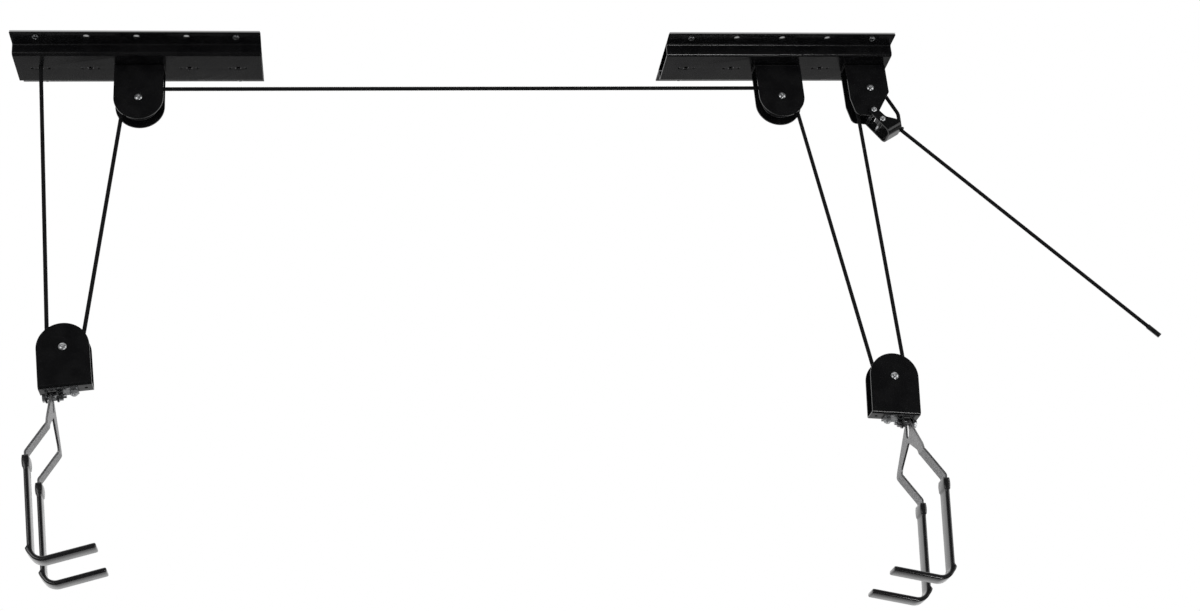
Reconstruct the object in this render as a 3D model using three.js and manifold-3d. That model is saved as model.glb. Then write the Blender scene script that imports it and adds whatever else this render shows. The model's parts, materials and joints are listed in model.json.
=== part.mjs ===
// Ceiling hoist: two hat-section steel brackets carry three rope pulleys, and one rope lifts two hook blocks.
//
// Frame: origin on the ceiling, midway between the brackets. +X runs from the plain bracket to the bracket
// with the rope lock, +Y across the brackets, +Z up. The rope lies in the plane y = 0. Millimetres.

import * as THREE from 'three';
import { mergeVertices } from 'three/addons/utils/BufferGeometryUtils.js';
import Module from 'manifold-3d';

const wasm = await Module();
wasm.setup();

// ---------------------------------------------------------------- driving dimensions

const seat = 0.3; // gap left between pieces that touch
const sheet = 2; // steel sheet of brackets, housings, hangers and lock arm

const bracketSpacing = 760; // between the middles of the two brackets
const bracketLength = 280;
const flangeWidth = 22.5; // each flange, against the ceiling
const crownWidth = 60; // outside the two webs
const crownDrop = 16; // ceiling to the crown's outer face
const bracketBend = 3; // radius of the sheet's middle at a bend
const stationInset = 28; // end hole station to the bracket's end, five stations at one pitch
const flangeHole = 6.5; // diameter
const flangeHoleInset = 6.7; // hole middle to the flange's edge
const crownHole = 6.5;
const rivetHole = 3.6; // small holes beside each crown hole
const rivetHoleSpread = 9.3; // crown hole to small hole

const screwHead = 8.2; // diameter
const screwHeadHeight = 2.4;
const screwShank = 4.2;
const screwLength = 32; // above the flange
const screwPoint = 8; // length of its pointed end
const crownRivetHead = 11; // diameter
const domeFlat = 0.6; // a domed head's flat middle, as a share of its width
const domeRim = 0.3; // its straight rim, as a share of its height

const rope = 4.5; // diameter
const pitchRadius = 17.5; // sheave centre to the rope's middle
const sheaveLip = 4.5; // sheave rim beyond the rope's middle
const sheaveRim = 10; // width over the rim
const grooveFlare = 1.35; // groove's mouth beyond its floor, each side
const rimEdge = 0.5; // least thickness of the rim beside the mouth
const hubDiameter = 15;
const axle = 6; // diameter
const axleHead = 9;
const axleHeadHeight = 2;

const blockWidth = 56;
const blockDepth = 23; // over both cheeks
const blockBend = 2.5;
const axleToWeb = 45.5; // block axle to the web's outer face
const webHoleInset = 7; // small holes in a hook block's web, from the web's ends

const lockAxleX = 8; // lock sheave axle, from the middle of its housing
const lockAxleDrop = 51; // below the ceiling
const lobe = { x: -14, z: -88.5, r: 14 }; // cheek's rounded lower corner, x from the housing's middle
const armPivot = { x: 7.5, z: -83.4, r: 6.5 }; // cheek's boss at the arm's pivot
const cheekShoulder = -60; // where the cheek's straight outer edge ends
const guidePin = { x: -15.5, z: -90, r: 4 };
const armGap = 0.6; // arm plate to cheek, each side
const armRivet = 5; // diameter
const armRivetHead = 7.5; // diameter
const armRivetHeadHeight = 1.6;
const flushHead = 0.3; // height of a rivet head that is set almost flush
const crossPin = { x: 16.4, z: -96.4 };
const armBoss = 6; // radius of the arm round its pivot
const armLow = { x: 15.9, z: -29.7 }; // the arm's corners, from the pivot
const armEnd = { x: 27, z: -21.5 };
const armShoulder = { x: 26.3, z: -12.8 };
const armNeck = { x: 13.7, z: -9.4 };
const ropeEye = { x: 34.2, z: -20 }; // middle of the eye at the arm's end
const eyeWire = 3; // diameter
const eyeClearance = 2; // eye's opening beyond the rope
const eyeLean = 21; // degrees
const eyeStem = 4; // length of the eye's stem that lies in the arm

const hangLeft = { x: -71.6, z: -372, tilt: -5.2 }; // hook block axle from its bracket's middle, degrees
const hangRight = { x: 86, z: -431, tilt: 5.1 };

const eyeX = -15.2; // hook bolt's hole, from the block's middle
const eyeDrop = 7.1; // hook bolt below the block's web
const hookBolt = 5; // diameter
const hangerWidth = 20;
const hangerLength = 34;
const earGap = 10; // between the hanger's ears
const earRadius = 6;
const windowRail = 2.8; // strip left on each side of the window that an ear is pressed from
const plateOffset = 0.7; // hook plate to the middle of the gap between the ears
const hangerBoltX = 8.2;
const hangerBolt = 5;
const panHead = 1.8; // width of a pan head, times its bolt's diameter
const nutWidth = 1.6; // across a hexagon's flats, times its bolt's diameter
const nutHeight = 0.8; // times its bolt's diameter
const hexHeadHeight = 0.6; // times its bolt's diameter
const hangerBoltTail = 1.5; // bolt's end beyond its nut
const hookBoltTail = 3.5;
const bush = 8.5; // diameter

const hookSheet = 2.4;
const stripWidth = 18;
const legSpread = 44; // middle of the hook plate to the middle of a leg
const apexRadius = 6.2;
const slotWidth = 10;
const slotDrop = 18; // eye to the slot's lower end
const crotchDrop = 23.3;
const foldDrop = 48.3; // eye to the fold where the legs leave the plate
const legOffset = 22.7; // sideways
const legOffsetDrop = 29;
const shankLength = 103;
const hookRadius = 13; // of the strip's middle
const hookReach = 63; // shank to arm tip
const hookRise = 8.5; // degrees
const foldRadius = 4;
const kneeHeight = 2.8; // fold to where the plate's cut edges end

const sleeveWall = 1;
const collarHeight = 13;
const collarThickness = 8;
const stepProud = 2; // moulded step on the sleeve's back, where the hook's bend starts
const stepRise = 3;
const stepFall = 8;

const tailDirection = { x: 0.699, z: -0.715 };
const tailLength = 375; // eye to the end sleeve
const leadTurn = { x: 0.4, z: 22 }; // where the rope turns down to the eye, from the eye
const leadBend = 12; // radius there
const endSleeve = 6; // diameter of the sleeve crimped on the rope's end
const endSleeveLength = 18;
const knot = 12; // diameter

// ---------------------------------------------------------------- materials

function finish(color, roughness, metalness) {
  return new THREE.MeshStandardMaterial({ color, roughness, metalness });
}

const blackCoat = finish(0x151516, 0.28, 0.0);
const zinc = finish(0xc9cbcc, 0.3, 1.0);
const nylon = finish(0x17171a, 0.4, 0.0);
const steel = finish(0x8d8e8f, 0.45, 0.9);
const vinyl = finish(0x121213, 0.38, 0.0);
const braid = finish(0x141414, 0.85, 0.0);

// ---------------------------------------------------------------- solids

const model = new THREE.Group();

function add(name, geometry, material, parent = model) {
  const mesh = new THREE.Mesh(geometry, material);
  mesh.name = name;
  parent.add(mesh);
  return mesh;
}

// A closed geometry as a manifold solid: shared corners merged, triangles without area left out.
function solid(geometry) {
  const bare = geometry.clone();
  bare.deleteAttribute('normal');
  bare.deleteAttribute('uv');
  const merged = mergeVertices(bare, 1e-4);
  const corners = merged.index.array;
  const kept = [];
  for (let i = 0; i < corners.length; i += 3) {
    const [a, b, c] = [corners[i], corners[i + 1], corners[i + 2]];
    if (a !== b && b !== c && c !== a) kept.push(a, b, c);
  }
  const vertProperties = Float32Array.from(merged.attributes.position.array);
  const triVerts = Uint32Array.from(kept);
  return new wasm.Manifold(new wasm.Mesh({ numProp: 3, vertProperties, triVerts }));
}

function geometryOf(body) {
  const { vertProperties, triVerts } = body.getMesh();
  const geometry = new THREE.BufferGeometry();
  geometry.setAttribute('position', new THREE.BufferAttribute(vertProperties, 3));
  geometry.setIndex(new THREE.BufferAttribute(triVerts, 1));
  return geometry;
}

const join = (...pieces) => geometryOf(pieces.map(solid).reduce((a, b) => a.add(b)));
const common = (a, b) => geometryOf(solid(a).intersect(solid(b)));
const cut = (from, tools) => geometryOf(tools.map(solid).reduce((a, b) => a.subtract(b), solid(from)));

// Extrusions of an outline: drawn as (x, z) and swept along Y, drawn as (y, z) and swept along X, and drawn
// as (x, y) and swept along Z.
const plain = { bevelEnabled: false, curveSegments: 8 };
const sweep = (shape, depth) => new THREE.ExtrudeGeometry(shape, { ...plain, depth });
const alongY = (shape, low, high) => sweep(shape, high - low).rotateX(Math.PI / 2).translate(0, high, 0);
const alongZ = (shape, low, high) => sweep(shape, high - low).translate(0, 0, low);

function alongX(shape, low, high) {
  const turn = new THREE.Matrix4().makeBasis(
    new THREE.Vector3(0, 1, 0),
    new THREE.Vector3(0, 0, 1),
    new THREE.Vector3(1, 0, 0),
  );
  return sweep(shape, high - low).applyMatrix4(turn).translate(low, 0, 0);
}

// Round bars and turned pieces. A profile is a list of [radius, height] and turns about the named axis.
const upright = { x: (g) => g.rotateZ(-Math.PI / 2), y: (g) => g, z: (g) => g.rotateX(Math.PI / 2) };
const bar = (diameter, length, axis, sides = 12) =>
  upright[axis](new THREE.CylinderGeometry(diameter / 2, diameter / 2, length, sides));
const turned = (profile, axis, sides) =>
  upright[axis](new THREE.LatheGeometry(profile.map(([r, h]) => new THREE.Vector2(r, h)), sides));

// A rivet or bolt: a low domed head, a shank, and a second head or a plain end.
function pinProfile(diameter, length, head, headHeight, secondHead) {
  const [r, h] = [diameter / 2, head / 2];
  const dome = [[h, 0], [h, headHeight * domeRim], [h * domeFlat, headHeight], [0, headHeight]];
  const first = dome.map(([radius, height]) => [radius, -height]).reverse();
  const second = dome.map(([radius, height]) => [radius, length + height]);
  return [...first, [r, 0], [r, length], ...(secondHead ? second : [[0, length]])];
}

// Turn between neighbouring points of an arc, in radians: finer where the radius is large.
const arcStep = (radius) => (radius > 10 ? 0.2 : 0.4);

// A line through corners with each inner corner rounded to its radius, as a list of points.
function roundedLine(corners, radii) {
  const line = [corners[0]];
  for (let i = 1; i < corners.length - 1; i += 1) {
    const into = corners[i].clone().sub(corners[i - 1]).normalize();
    const out = corners[i + 1].clone().sub(corners[i]).normalize();
    const turn = Math.atan2(into.cross(out), into.dot(out));
    const radius = radii[i - 1];
    const reach = radius * Math.tan(Math.abs(turn) / 2);
    const start = corners[i].clone().addScaledVector(into, -reach);
    const side = new THREE.Vector2(-into.y, into.x).multiplyScalar(Math.sign(turn) * radius);
    const middle = start.clone().add(side);
    const count = Math.max(3, Math.round(Math.abs(turn) / arcStep(radius)));
    for (let k = 0; k <= count; k += 1) {
      line.push(start.clone().rotateAround(middle, (turn * k) / count));
    }
  }
  line.push(corners[corners.length - 1]);
  return line;
}

// The outline of a sheet of one thickness that follows a line.
function sheetAlong(line, thickness) {
  const steps = line.slice(1).map((point, i) => point.clone().sub(line[i]).normalize());
  const edge = (side) => line.map((point, i) => {
    const into = steps[Math.max(i - 1, 0)];
    const out = steps[Math.min(i, steps.length - 1)];
    const normal = new THREE.Vector2(-into.y - out.y, into.x + out.x).divideScalar(1 + into.dot(out));
    return point.clone().addScaledVector(normal, (side * thickness) / 2);
  });
  return new THREE.Shape([...edge(1), ...edge(-1).reverse()]);
}

const corner = (x, y) => new THREE.Vector2(x, y);

// The outline stretched round a set of circles; a corner is a circle of radius 0.
function hull(circles) {
  const points = circles.flatMap(({ x, z, r = 0 }) => {
    const count = r > 0 ? 4 * Math.round(4 + r / 10) : 1;
    return Array.from({ length: count }, (_, k) => {
      const angle = (2 * Math.PI * k) / count;
      return corner(x + r * Math.cos(angle), z + r * Math.sin(angle));
    });
  }).sort((a, b) => a.x - b.x || a.y - b.y);
  const half = (list) => list.reduce((chain, point) => {
    while (chain.length > 1) {
      const last = chain[chain.length - 1];
      const edge = last.clone().sub(chain[chain.length - 2]);
      if (edge.cross(point.clone().sub(last)) > 1e-9) break;
      chain.pop();
    }
    return [...chain, point];
  }, []);
  const lower = half(points);
  const upper = half([...points].reverse());
  return new THREE.Shape([...lower.slice(0, -1), ...upper.slice(0, -1)]);
}

// ---------------------------------------------------------------- ceiling brackets

const crownFace = -crownDrop;
const flangeEdge = crownWidth / 2 + flangeWidth;
const stationPitch = (bracketLength - 2 * stationInset) / 4;
const stations = [-2, -1, 0, 1, 2].map((n) => n * stationPitch);
const flangeHoleY = flangeEdge - flangeHoleInset;
const leftMiddle = -bracketSpacing / 2;
const rightMiddle = bracketSpacing / 2;

function bracket() {
  const web = crownWidth / 2 - sheet / 2;
  const top = -sheet / 2;
  const crown = crownFace + sheet / 2;
  const section = roundedLine([
    corner(-flangeEdge, top), corner(-web, top), corner(-web, crown),
    corner(web, crown), corner(web, top), corner(flangeEdge, top),
  ], [bracketBend, bracketBend, bracketBend, bracketBend]);
  const blank = alongX(sheetAlong(section, sheet), -bracketLength / 2, bracketLength / 2);
  const sides = (diameter) => (diameter > 5 ? 10 : 6);
  const punch = (diameter, x, y, z) => bar(diameter, 3 * sheet, 'z', sides(diameter)).translate(x, y, z);
  const holes = stations.flatMap((x) => [
    punch(flangeHole, x, -flangeHoleY, top), punch(flangeHole, x, flangeHoleY, top),
    punch(crownHole, x, 0, crown),
    punch(rivetHole, x - rivetHoleSpread, 0, crown), punch(rivetHole, x + rivetHoleSpread, 0, crown),
  ]);
  return cut(blank, holes);
}

// A ceiling screw: pan head under the flange, pointed shank up into the ceiling.
function ceilingScrew() {
  const under = -sheet - seat;
  const tip = screwLength - sheet;
  const profile = pinProfile(screwShank, tip - screwPoint - under, screwHead, screwHeadHeight, false);
  const pointed = [...profile.slice(0, -1), [0, tip - under]];
  return turned(pointed, 'z', 10).translate(0, 0, under);
}

for (const [side, middle] of [['left', leftMiddle], ['right', rightMiddle]]) {
  add(`${side}_bracket`, bracket(), blackCoat).position.x = middle;
  for (const [end, x] of [['outer', -1], ['inner', 1]]) {
    for (const [row, y] of [['front', -1], ['rear', 1]]) {
      const screw = add(`${side}_screw_${end}_${row}`, ceilingScrew(), zinc);
      screw.position.set(middle + x * Math.sign(-middle) * 2 * stationPitch, y * flangeHoleY, 0);
    }
  }
}

// ---------------------------------------------------------------- pulley housings, sheaves and axles

// A strap of sheet bent to a U, its web across z = web, cut to the outline of its cheeks. Away is the side of
// the web that the cheeks leave from: -1 below it, +1 above it.
function strapHousing(outline, low, high, web, away) {
  const cheek = blockDepth / 2 - sheet / 2;
  const middle = web + (away * sheet) / 2;
  const end = web + away * 3 * blockWidth; // past the outline, which trims the cheeks
  const section = roundedLine(
    [corner(-cheek, end), corner(-cheek, middle), corner(cheek, middle), corner(cheek, end)],
    [blockBend, blockBend],
  );
  const strap = alongX(sheetAlong(section, sheet), low, high);
  return common(strap, alongY(outline, -blockDepth, blockDepth));
}

const crossHole = (diameter, x, z) => bar(diameter + 2 * seat, 2 * blockDepth, 'y').translate(x, 0, z);
const webHole = (diameter, x, z) => bar(diameter, 3 * sheet, 'z', 10).translate(x, 0, z);

// A plain block's housing about its axle: a rounded end round the sheave and a flat web.
function blockHousing(away) {
  const web = -away * axleToWeb;
  const half = blockWidth / 2;
  const outline = hull([{ x: 0, z: 0, r: half }, { x: -half, z: web }, { x: half, z: web }]);
  return strapHousing(outline, -half, half, web, away);
}

function sheave() {
  const lip = pitchRadius + sheaveLip;
  const groove = rope / 2 + seat;
  const bore = axle / 2 + seat;
  const [rim, hub] = [sheaveRim / 2, blockDepth / 2 - sheet - seat];
  const facets = 4;
  const floor = Array.from({ length: facets + 1 }, (_, k) => {
    const angle = Math.PI * (k / facets - 0.5);
    return [pitchRadius - groove * Math.cos(angle), groove * Math.sin(angle)];
  });
  const mouth = Math.min(groove + grooveFlare, rim - rimEdge);
  const boss = hubDiameter / 2;
  return turned([
    [bore, -hub], [boss, -hub], [boss, -rim], [lip, -rim], [lip, -mouth], ...floor,
    [lip, mouth], [lip, rim], [boss, rim], [boss, hub], [bore, hub], [bore, -hub],
  ], 'y', 20);
}

function axleRivet() {
  const length = blockDepth + 2 * seat;
  const profile = pinProfile(axle, length, axleHead, axleHeadHeight, true);
  return turned(profile, 'y', 10).translate(0, -length / 2, 0);
}

const topWeb = crownFace - seat; // outer face of a housing's web under a crown
const topAxle = { z: topWeb - axleToWeb };

// A rivet holds a housing's web under the crown, through the crown's middle hole.
function crownRivet() {
  const length = 2 * sheet + 3 * seat;
  const profile = pinProfile(crownHole - 2 * seat, length, crownRivetHead, sheet, true);
  return turned(profile, 'z', 10).translate(0, 0, topWeb - sheet - seat);
}

for (const [side, x] of [['left', leftMiddle], ['right', rightMiddle]]) {
  const group = new THREE.Group();
  group.position.set(x, 0, topAxle.z);
  model.add(group);
  const holes = [crossHole(axle, 0, 0), webHole(crownHole, 0, axleToWeb - sheet / 2)];
  add(`${side}_top_housing`, cut(blockHousing(-1), holes), blackCoat, group);
  add(`${side}_top_sheave`, sheave(), nylon, group);
  add(`${side}_top_axle`, axleRivet(), zinc, group);
  add(`${side}_top_rivet`, crownRivet(), zinc).position.x = x;
}

// ---------------------------------------------------------------- rope lock

const lockMiddle = rightMiddle + 2 * stationPitch - lockAxleX;
const lockAxle = { x: lockMiddle + lockAxleX, z: -lockAxleDrop };
const fromLock = ({ x, z, r = 0 }) => ({ x: lockMiddle + x, z, r });
const pivot = fromLock(armPivot);
const pin = fromLock(crossPin);
const guide = fromLock(guidePin);

function lockHousing() {
  const [low, high] = [lockMiddle - blockWidth / 2, lockMiddle + blockWidth / 2];
  const outline = hull([
    { x: low, z: topWeb }, { x: high, z: topWeb }, { x: high, z: cheekShoulder }, fromLock(lobe), pivot,
  ]);
  const holes = [
    crossHole(axle, lockAxle.x, lockAxle.z), crossHole(armRivet, pivot.x, pivot.z),
    crossHole(armRivet, guide.x, guide.z), webHole(crownHole, lockAxle.x, topWeb - sheet / 2),
  ];
  return cut(strapHousing(outline, low, high, topWeb, -1), holes);
}

// The guide pin keeps the rope off the cheeks' lower corner: a thick middle between two riveted ends.
function guideSpacer() {
  const inner = blockDepth / 2 - sheet - seat;
  const outer = blockDepth / 2 + seat;
  const [r, head] = [armRivet / 2, armRivetHead / 2];
  const half = [[guidePin.r, inner], [r, inner], [r, outer], [head, outer], [head, outer + flushHead]];
  const nearHalf = half.map(([radius, y]) => [radius, -y]).reverse();
  return turned([[0, -outer - flushHead], ...nearHalf, ...half, [0, outer + flushHead]], 'y', 10);
}

const armInside = blockDepth / 2 + armGap; // middle plane to the inner face of an arm plate
const armOutside = armInside + sheet;
const fromPivot = ({ x, z }) => corner(pivot.x + x, pivot.z + z);
const ringCentre = fromPivot(ropeEye);
const ringRadius = (rope + eyeClearance + eyeWire) / 2;
const ringLean = THREE.MathUtils.degToRad(eyeLean); // between the rope's two directions at the eye

// The side of an arm plate: a boss round the pivot, a straight back edge to the low corner, a waisted front.
function armPlate() {
  const reach = Math.hypot(armLow.x, armLow.z);
  const backEdge = Math.atan2(armLow.z, armLow.x) - Math.acos(armBoss / reach);
  const plate = new THREE.Shape();
  plate.absarc(pivot.x, pivot.z, armBoss, 0, backEdge + 2 * Math.PI, false);
  for (const point of [armLow, armEnd, armShoulder, armNeck].map(fromPivot)) plate.lineTo(point.x, point.y);
  plate.closePath();
  return plate;
}

// Two plates straddle the housing, a strip joins them at their lower end, and an eye there guides the rope.
function lockArm() {
  const plate = armPlate();
  const [low, end] = [fromPivot(armLow), fromPivot(armEnd)];
  const inward = corner(low.y - end.y, end.x - low.x).normalize().multiplyScalar(sheet / 2);
  const web = sheetAlong([low.clone().add(inward), end.clone().add(inward)], sheet);
  const ring = new THREE.TorusGeometry(ringRadius, eyeWire / 2, 6, 18)
    .rotateY(-ringLean)
    .translate(ringCentre.x, 0, ringCentre.y);
  const stemEnd = corner(-Math.cos(ringLean), -Math.sin(ringLean)).multiplyScalar(ringRadius).add(ringCentre);
  const stem = sheetAlong([corner(end.x - eyeStem, end.y), stemEnd], eyeWire);
  const shell = join(
    alongY(plate, -armOutside, -armInside), alongY(plate, armInside, armOutside),
    alongY(web, -armOutside, armOutside), alongY(stem, -eyeWire / 2, eyeWire / 2), ring,
  );
  return cut(shell, [crossHole(armRivet, pivot.x, pivot.z), crossHole(armRivet, pin.x, pin.z)]);
}

function armPin() {
  const length = 2 * (armOutside + seat);
  const profile = pinProfile(armRivet, length, armRivetHead, armRivetHeadHeight, true);
  return turned(profile, 'y', 10).translate(0, -length / 2, 0);
}

add('lock_housing', lockHousing(), blackCoat);
add('lock_sheave', sheave(), nylon).position.set(lockAxle.x, 0, lockAxle.z);
add('lock_axle', axleRivet(), zinc).position.set(lockAxle.x, 0, lockAxle.z);
add('lock_rivet', crownRivet(), zinc).position.x = lockAxle.x;
add('lock_guide_pin', guideSpacer(), blackCoat).position.set(guide.x, 0, guide.z);
add('lock_arm', lockArm(), blackCoat);
add('lock_arm_pivot', armPin(), zinc).position.set(pivot.x, 0, pivot.z);
add('lock_arm_cross_pin', armPin(), zinc).position.set(pin.x, 0, pin.z);

// ---------------------------------------------------------------- hook blocks

const eye = { x: eyeX, z: -axleToWeb - eyeDrop };
const hangerTop = -axleToWeb - seat;
const hangerUnder = hangerTop - sheet;
const earOuter = eyeX - earGap / 2 + plateOffset - sheet; // outer face of the outer ear
const earInner = earOuter + sheet + earGap + sheet; // outer face of the inner ear

// An angle strip under the web: one ear is its bent end, the other is pressed out of a window in the strip.
function hanger() {
  const half = hangerWidth / 2;
  const ear = hull([
    { x: 0, z: eye.z, r: earRadius }, { x: -earRadius, z: hangerTop }, { x: earRadius, z: hangerTop },
  ]);
  const strip = new THREE.Shape([
    corner(earOuter, -half), corner(earOuter + hangerLength, -half),
    corner(earOuter + hangerLength, half), corner(earOuter, half),
  ]);
  const windowHalf = half - windowRail;
  const window = new THREE.Shape([
    corner(earOuter + sheet, -windowHalf), corner(earInner - sheet, -windowHalf),
    corner(earInner - sheet, windowHalf), corner(earOuter + sheet, windowHalf),
  ]);
  const plate = cut(alongZ(strip, hangerUnder, hangerTop), [
    alongZ(window, hangerUnder - sheet, hangerTop + sheet),
    bar(hangerBolt + 2 * seat, 4 * sheet, 'z').translate(hangerBoltX, 0, hangerTop),
  ]);
  const ears = [earOuter, earInner - sheet].map((x) => alongX(ear, x, x + sheet));
  const boltHole = bar(hookBolt + 2 * seat, 3 * earGap, 'x').translate(eyeX, 0, eye.z);
  return cut(join(plate, ...ears), [boltHole]);
}

// A hexagon head or nut for a bolt, centred on the origin.
function hexagon(bolt, length, axis) {
  const radius = (bolt * nutWidth) / Math.sqrt(3);
  return upright[axis](new THREE.CylinderGeometry(radius, radius, length, 6).rotateY(Math.PI / 6));
}

// The bolt that holds the hanger to the web: pan head inside the housing, its nut and end below.
function hangerFixing() {
  const under = -axleToWeb + sheet + seat;
  const nutThickness = hangerBolt * nutHeight;
  const nutTop = hangerUnder - seat;
  const length = under - nutTop + nutThickness + hangerBoltTail;
  const profile = pinProfile(hangerBolt, length, hangerBolt * panHead, sheet, false);
  const bolt = turned(profile, 'z', 10).rotateX(Math.PI).translate(0, 0, under);
  const nut = hexagon(hangerBolt, nutThickness, 'z').translate(0, 0, nutTop - nutThickness / 2);
  return join(bolt, nut).translate(hangerBoltX, 0, 0);
}

const nutThickness = hookBolt * nutHeight;
const nutOuter = earInner + seat + nutThickness;

function hookPin() {
  const headHeight = hookBolt * hexHeadHeight;
  const underHead = earOuter - seat;
  const [low, high] = [underHead - headHeight / 2, nutOuter + hookBoltTail];
  const shank = bar(hookBolt, high - low, 'x').translate((low + high) / 2, 0, 0);
  return join(shank, hexagon(hookBolt, headHeight, 'x').translate(low, 0, 0));
}

function hookNut() {
  const bore = bar(hookBolt + 2 * seat, 3 * nutThickness, 'x');
  return cut(hexagon(hookBolt, nutThickness, 'x'), [bore]).translate(nutOuter - nutThickness / 2, 0, 0);
}

function hookBush() {
  const low = eyeX + hookSheet / 2 + seat;
  const high = earInner - sheet - seat;
  const bore = bar(hookBolt + 2 * seat, 2 * earGap, 'x');
  return cut(bar(bush, high - low, 'x'), [bore]).translate((low + high) / 2, 0, 0);
}

// The leg seen from the side, as (x, z) from the eye: fold, offset, shank, round hook and rising arm.
const shankX = -legOffset;
const shankTop = -foldDrop - legOffsetDrop;
const rise = THREE.MathUtils.degToRad(hookRise);
const bendReach = hookRadius * Math.tan((Math.PI / 2 + rise) / 2);
const bendStart = shankTop - shankLength;
const bendCorner = corner(shankX, bendStart - bendReach);
const armWay = corner(Math.cos(rise), Math.sin(rise));
const armAt = (length) => bendCorner.clone().addScaledVector(armWay, length);
const armLength = hookReach / Math.cos(rise);

// One sheet piece: a plate like an inverted V with a slot for the bolt, and a bent leg on each side.
function doubleHook() {
  const [outer, inner] = [legSpread + stripWidth / 2, legSpread - stripWidth / 2];
  const knee = kneeHeight - foldDrop;
  const tangent = Math.atan2(knee, outer) + Math.acos(apexRadius / Math.hypot(outer, knee));
  const plate = new THREE.Shape();
  plate.moveTo(outer, -foldDrop);
  plate.lineTo(outer, knee);
  plate.absarc(0, 0, apexRadius, tangent, Math.PI - tangent, false);
  const legs = [[-outer, knee], [-outer, -foldDrop], [-inner, -foldDrop], [-inner, knee]];
  const crotch = [[0, -crotchDrop], [inner, knee], [inner, -foldDrop]];
  for (const [y, z] of [...legs, ...crotch]) plate.lineTo(y, z);
  plate.closePath();
  const slotTop = hookBolt / 2 + seat - slotWidth / 2;
  const slot = new THREE.Path();
  slot.absarc(0, slotTop, slotWidth / 2, 0, Math.PI, false);
  slot.absarc(0, -slotDrop + slotWidth / 2, slotWidth / 2, Math.PI, 2 * Math.PI, false);
  plate.holes.push(slot);
  const line = roundedLine(
    [corner(0, knee), corner(0, -foldDrop), corner(shankX, shankTop), bendCorner, armAt(armLength)],
    [foldRadius, foldRadius, hookRadius],
  );
  const leg = sheetAlong(line, hookSheet);
  const strips = [-legSpread, legSpread].map((y) => alongY(leg, y - stripWidth / 2, y + stripWidth / 2));
  return join(alongX(plate, -hookSheet / 2, hookSheet / 2), ...strips);
}

// A vinyl sleeve over the shank and the arm, with a collar at its mouth and a step where the arm starts.
function sleeve(y) {
  const mouth = shankTop - foldRadius;
  const inside = { thickness: hookSheet + 2 * seat, width: stripWidth + 2 * seat };
  const outside = { thickness: inside.thickness + 2 * sleeveWall, width: inside.width + 2 * sleeveWall };
  const follow = (top, length) => roundedLine([corner(shankX, top), bendCorner, armAt(length)], [hookRadius]);
  const across = (shape, width) => alongY(shape, y - width / 2, y + width / 2);
  const tip = armLength + seat;
  const skin = across(sheetAlong(follow(mouth, tip + sleeveWall), outside.thickness), outside.width);
  const collar = across(
    sheetAlong([corner(shankX, mouth), corner(shankX, mouth - collarHeight)], collarThickness),
    outside.width + sleeveWall,
  );
  const back = shankX - outside.thickness / 2;
  const step = across(new THREE.Shape([
    corner(back + sleeveWall / 2, bendStart + stepRise), corner(back - stepProud, bendStart),
    corner(back + stepRise, bendStart - stepFall),
  ]), outside.width);
  const hollow = across(sheetAlong(follow(mouth + sleeveWall, tip), inside.thickness), inside.width);
  return cut(join(skin, collar, step), [hollow]);
}

function hookBlock(side, middle, hang, facing) {
  const group = new THREE.Group();
  group.position.set(middle + hang.x, 0, hang.z);
  group.rotation.set(0, THREE.MathUtils.degToRad(hang.tilt), facing);
  model.add(group);
  const web = -axleToWeb + sheet / 2;
  const ends = blockWidth / 2 - webHoleInset;
  const holes = [
    crossHole(axle, 0, 0), webHole(hangerBolt + 2 * seat, hangerBoltX, web),
    webHole(rivetHole, -ends, web), webHole(rivetHole, ends, web),
  ];
  add(`${side}_hook_housing`, cut(blockHousing(1), holes), blackCoat, group);
  add(`${side}_hook_sheave`, sheave(), nylon, group);
  add(`${side}_hook_axle`, axleRivet(), zinc, group);
  add(`${side}_hanger`, hanger(), zinc, group);
  add(`${side}_hanger_bolt`, hangerFixing(), zinc, group);
  for (const [name, piece] of [['bolt', hookPin], ['nut', hookNut], ['bush', hookBush]]) {
    add(`${side}_hook_${name}`, piece(), zinc, group).position.z = eye.z;
  }
  const hook = new THREE.Group();
  hook.position.set(eye.x, 0, eye.z);
  group.add(hook);
  add(`${side}_double_hook`, doubleHook(), steel, hook);
  const front = facing === 0 ? -legSpread : legSpread;
  add(`${side}_sleeve_front`, sleeve(front), vinyl, hook);
  add(`${side}_sleeve_rear`, sleeve(-front), vinyl, hook);
}

hookBlock('left', leftMiddle, hangLeft, 0);
hookBlock('right', rightMiddle, hangRight, Math.PI);

// ---------------------------------------------------------------- rope

// The rope's route: up from its knot, then over or under each sheave in turn. Turn is +1 where the rope runs
// clockwise round the sheave as seen along +Y, and -1 where it runs the other way.
const ropeStart = { x: leftMiddle - 2 * stationPitch, z: crownFace };
const route = [
  { x: ropeStart.x, z: ropeStart.z, r: 0, turn: 1 },
  { x: leftMiddle + hangLeft.x, z: hangLeft.z, r: pitchRadius, turn: -1 },
  { x: leftMiddle, z: topAxle.z, r: pitchRadius, turn: 1 },
  { x: rightMiddle, z: topAxle.z, r: pitchRadius, turn: 1 },
  { x: rightMiddle + hangRight.x, z: hangRight.z, r: pitchRadius, turn: -1 },
  { x: lockAxle.x, z: lockAxle.z, r: pitchRadius, turn: 1 },
  { x: ringCentre.x + leadTurn.x, z: ringCentre.y + leadTurn.z, r: 0, turn: 1 },
];

// The straight run between two sheaves, from where it leaves the first to where it meets the second.
function tangentRun(a, b) {
  const along = corner(b.x - a.x, b.z - a.z);
  const distance = along.length();
  along.divideScalar(distance);
  const left = corner(-along.y, along.x);
  const lean = (a.turn * a.r - b.turn * b.r) / distance;
  const normal = along.clone().multiplyScalar(lean).addScaledVector(left, Math.sqrt(1 - lean * lean));
  const touch = (wheel) => corner(wheel.x, wheel.z).addScaledVector(normal, wheel.turn * wheel.r);
  return [touch(a), touch(b)];
}

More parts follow.
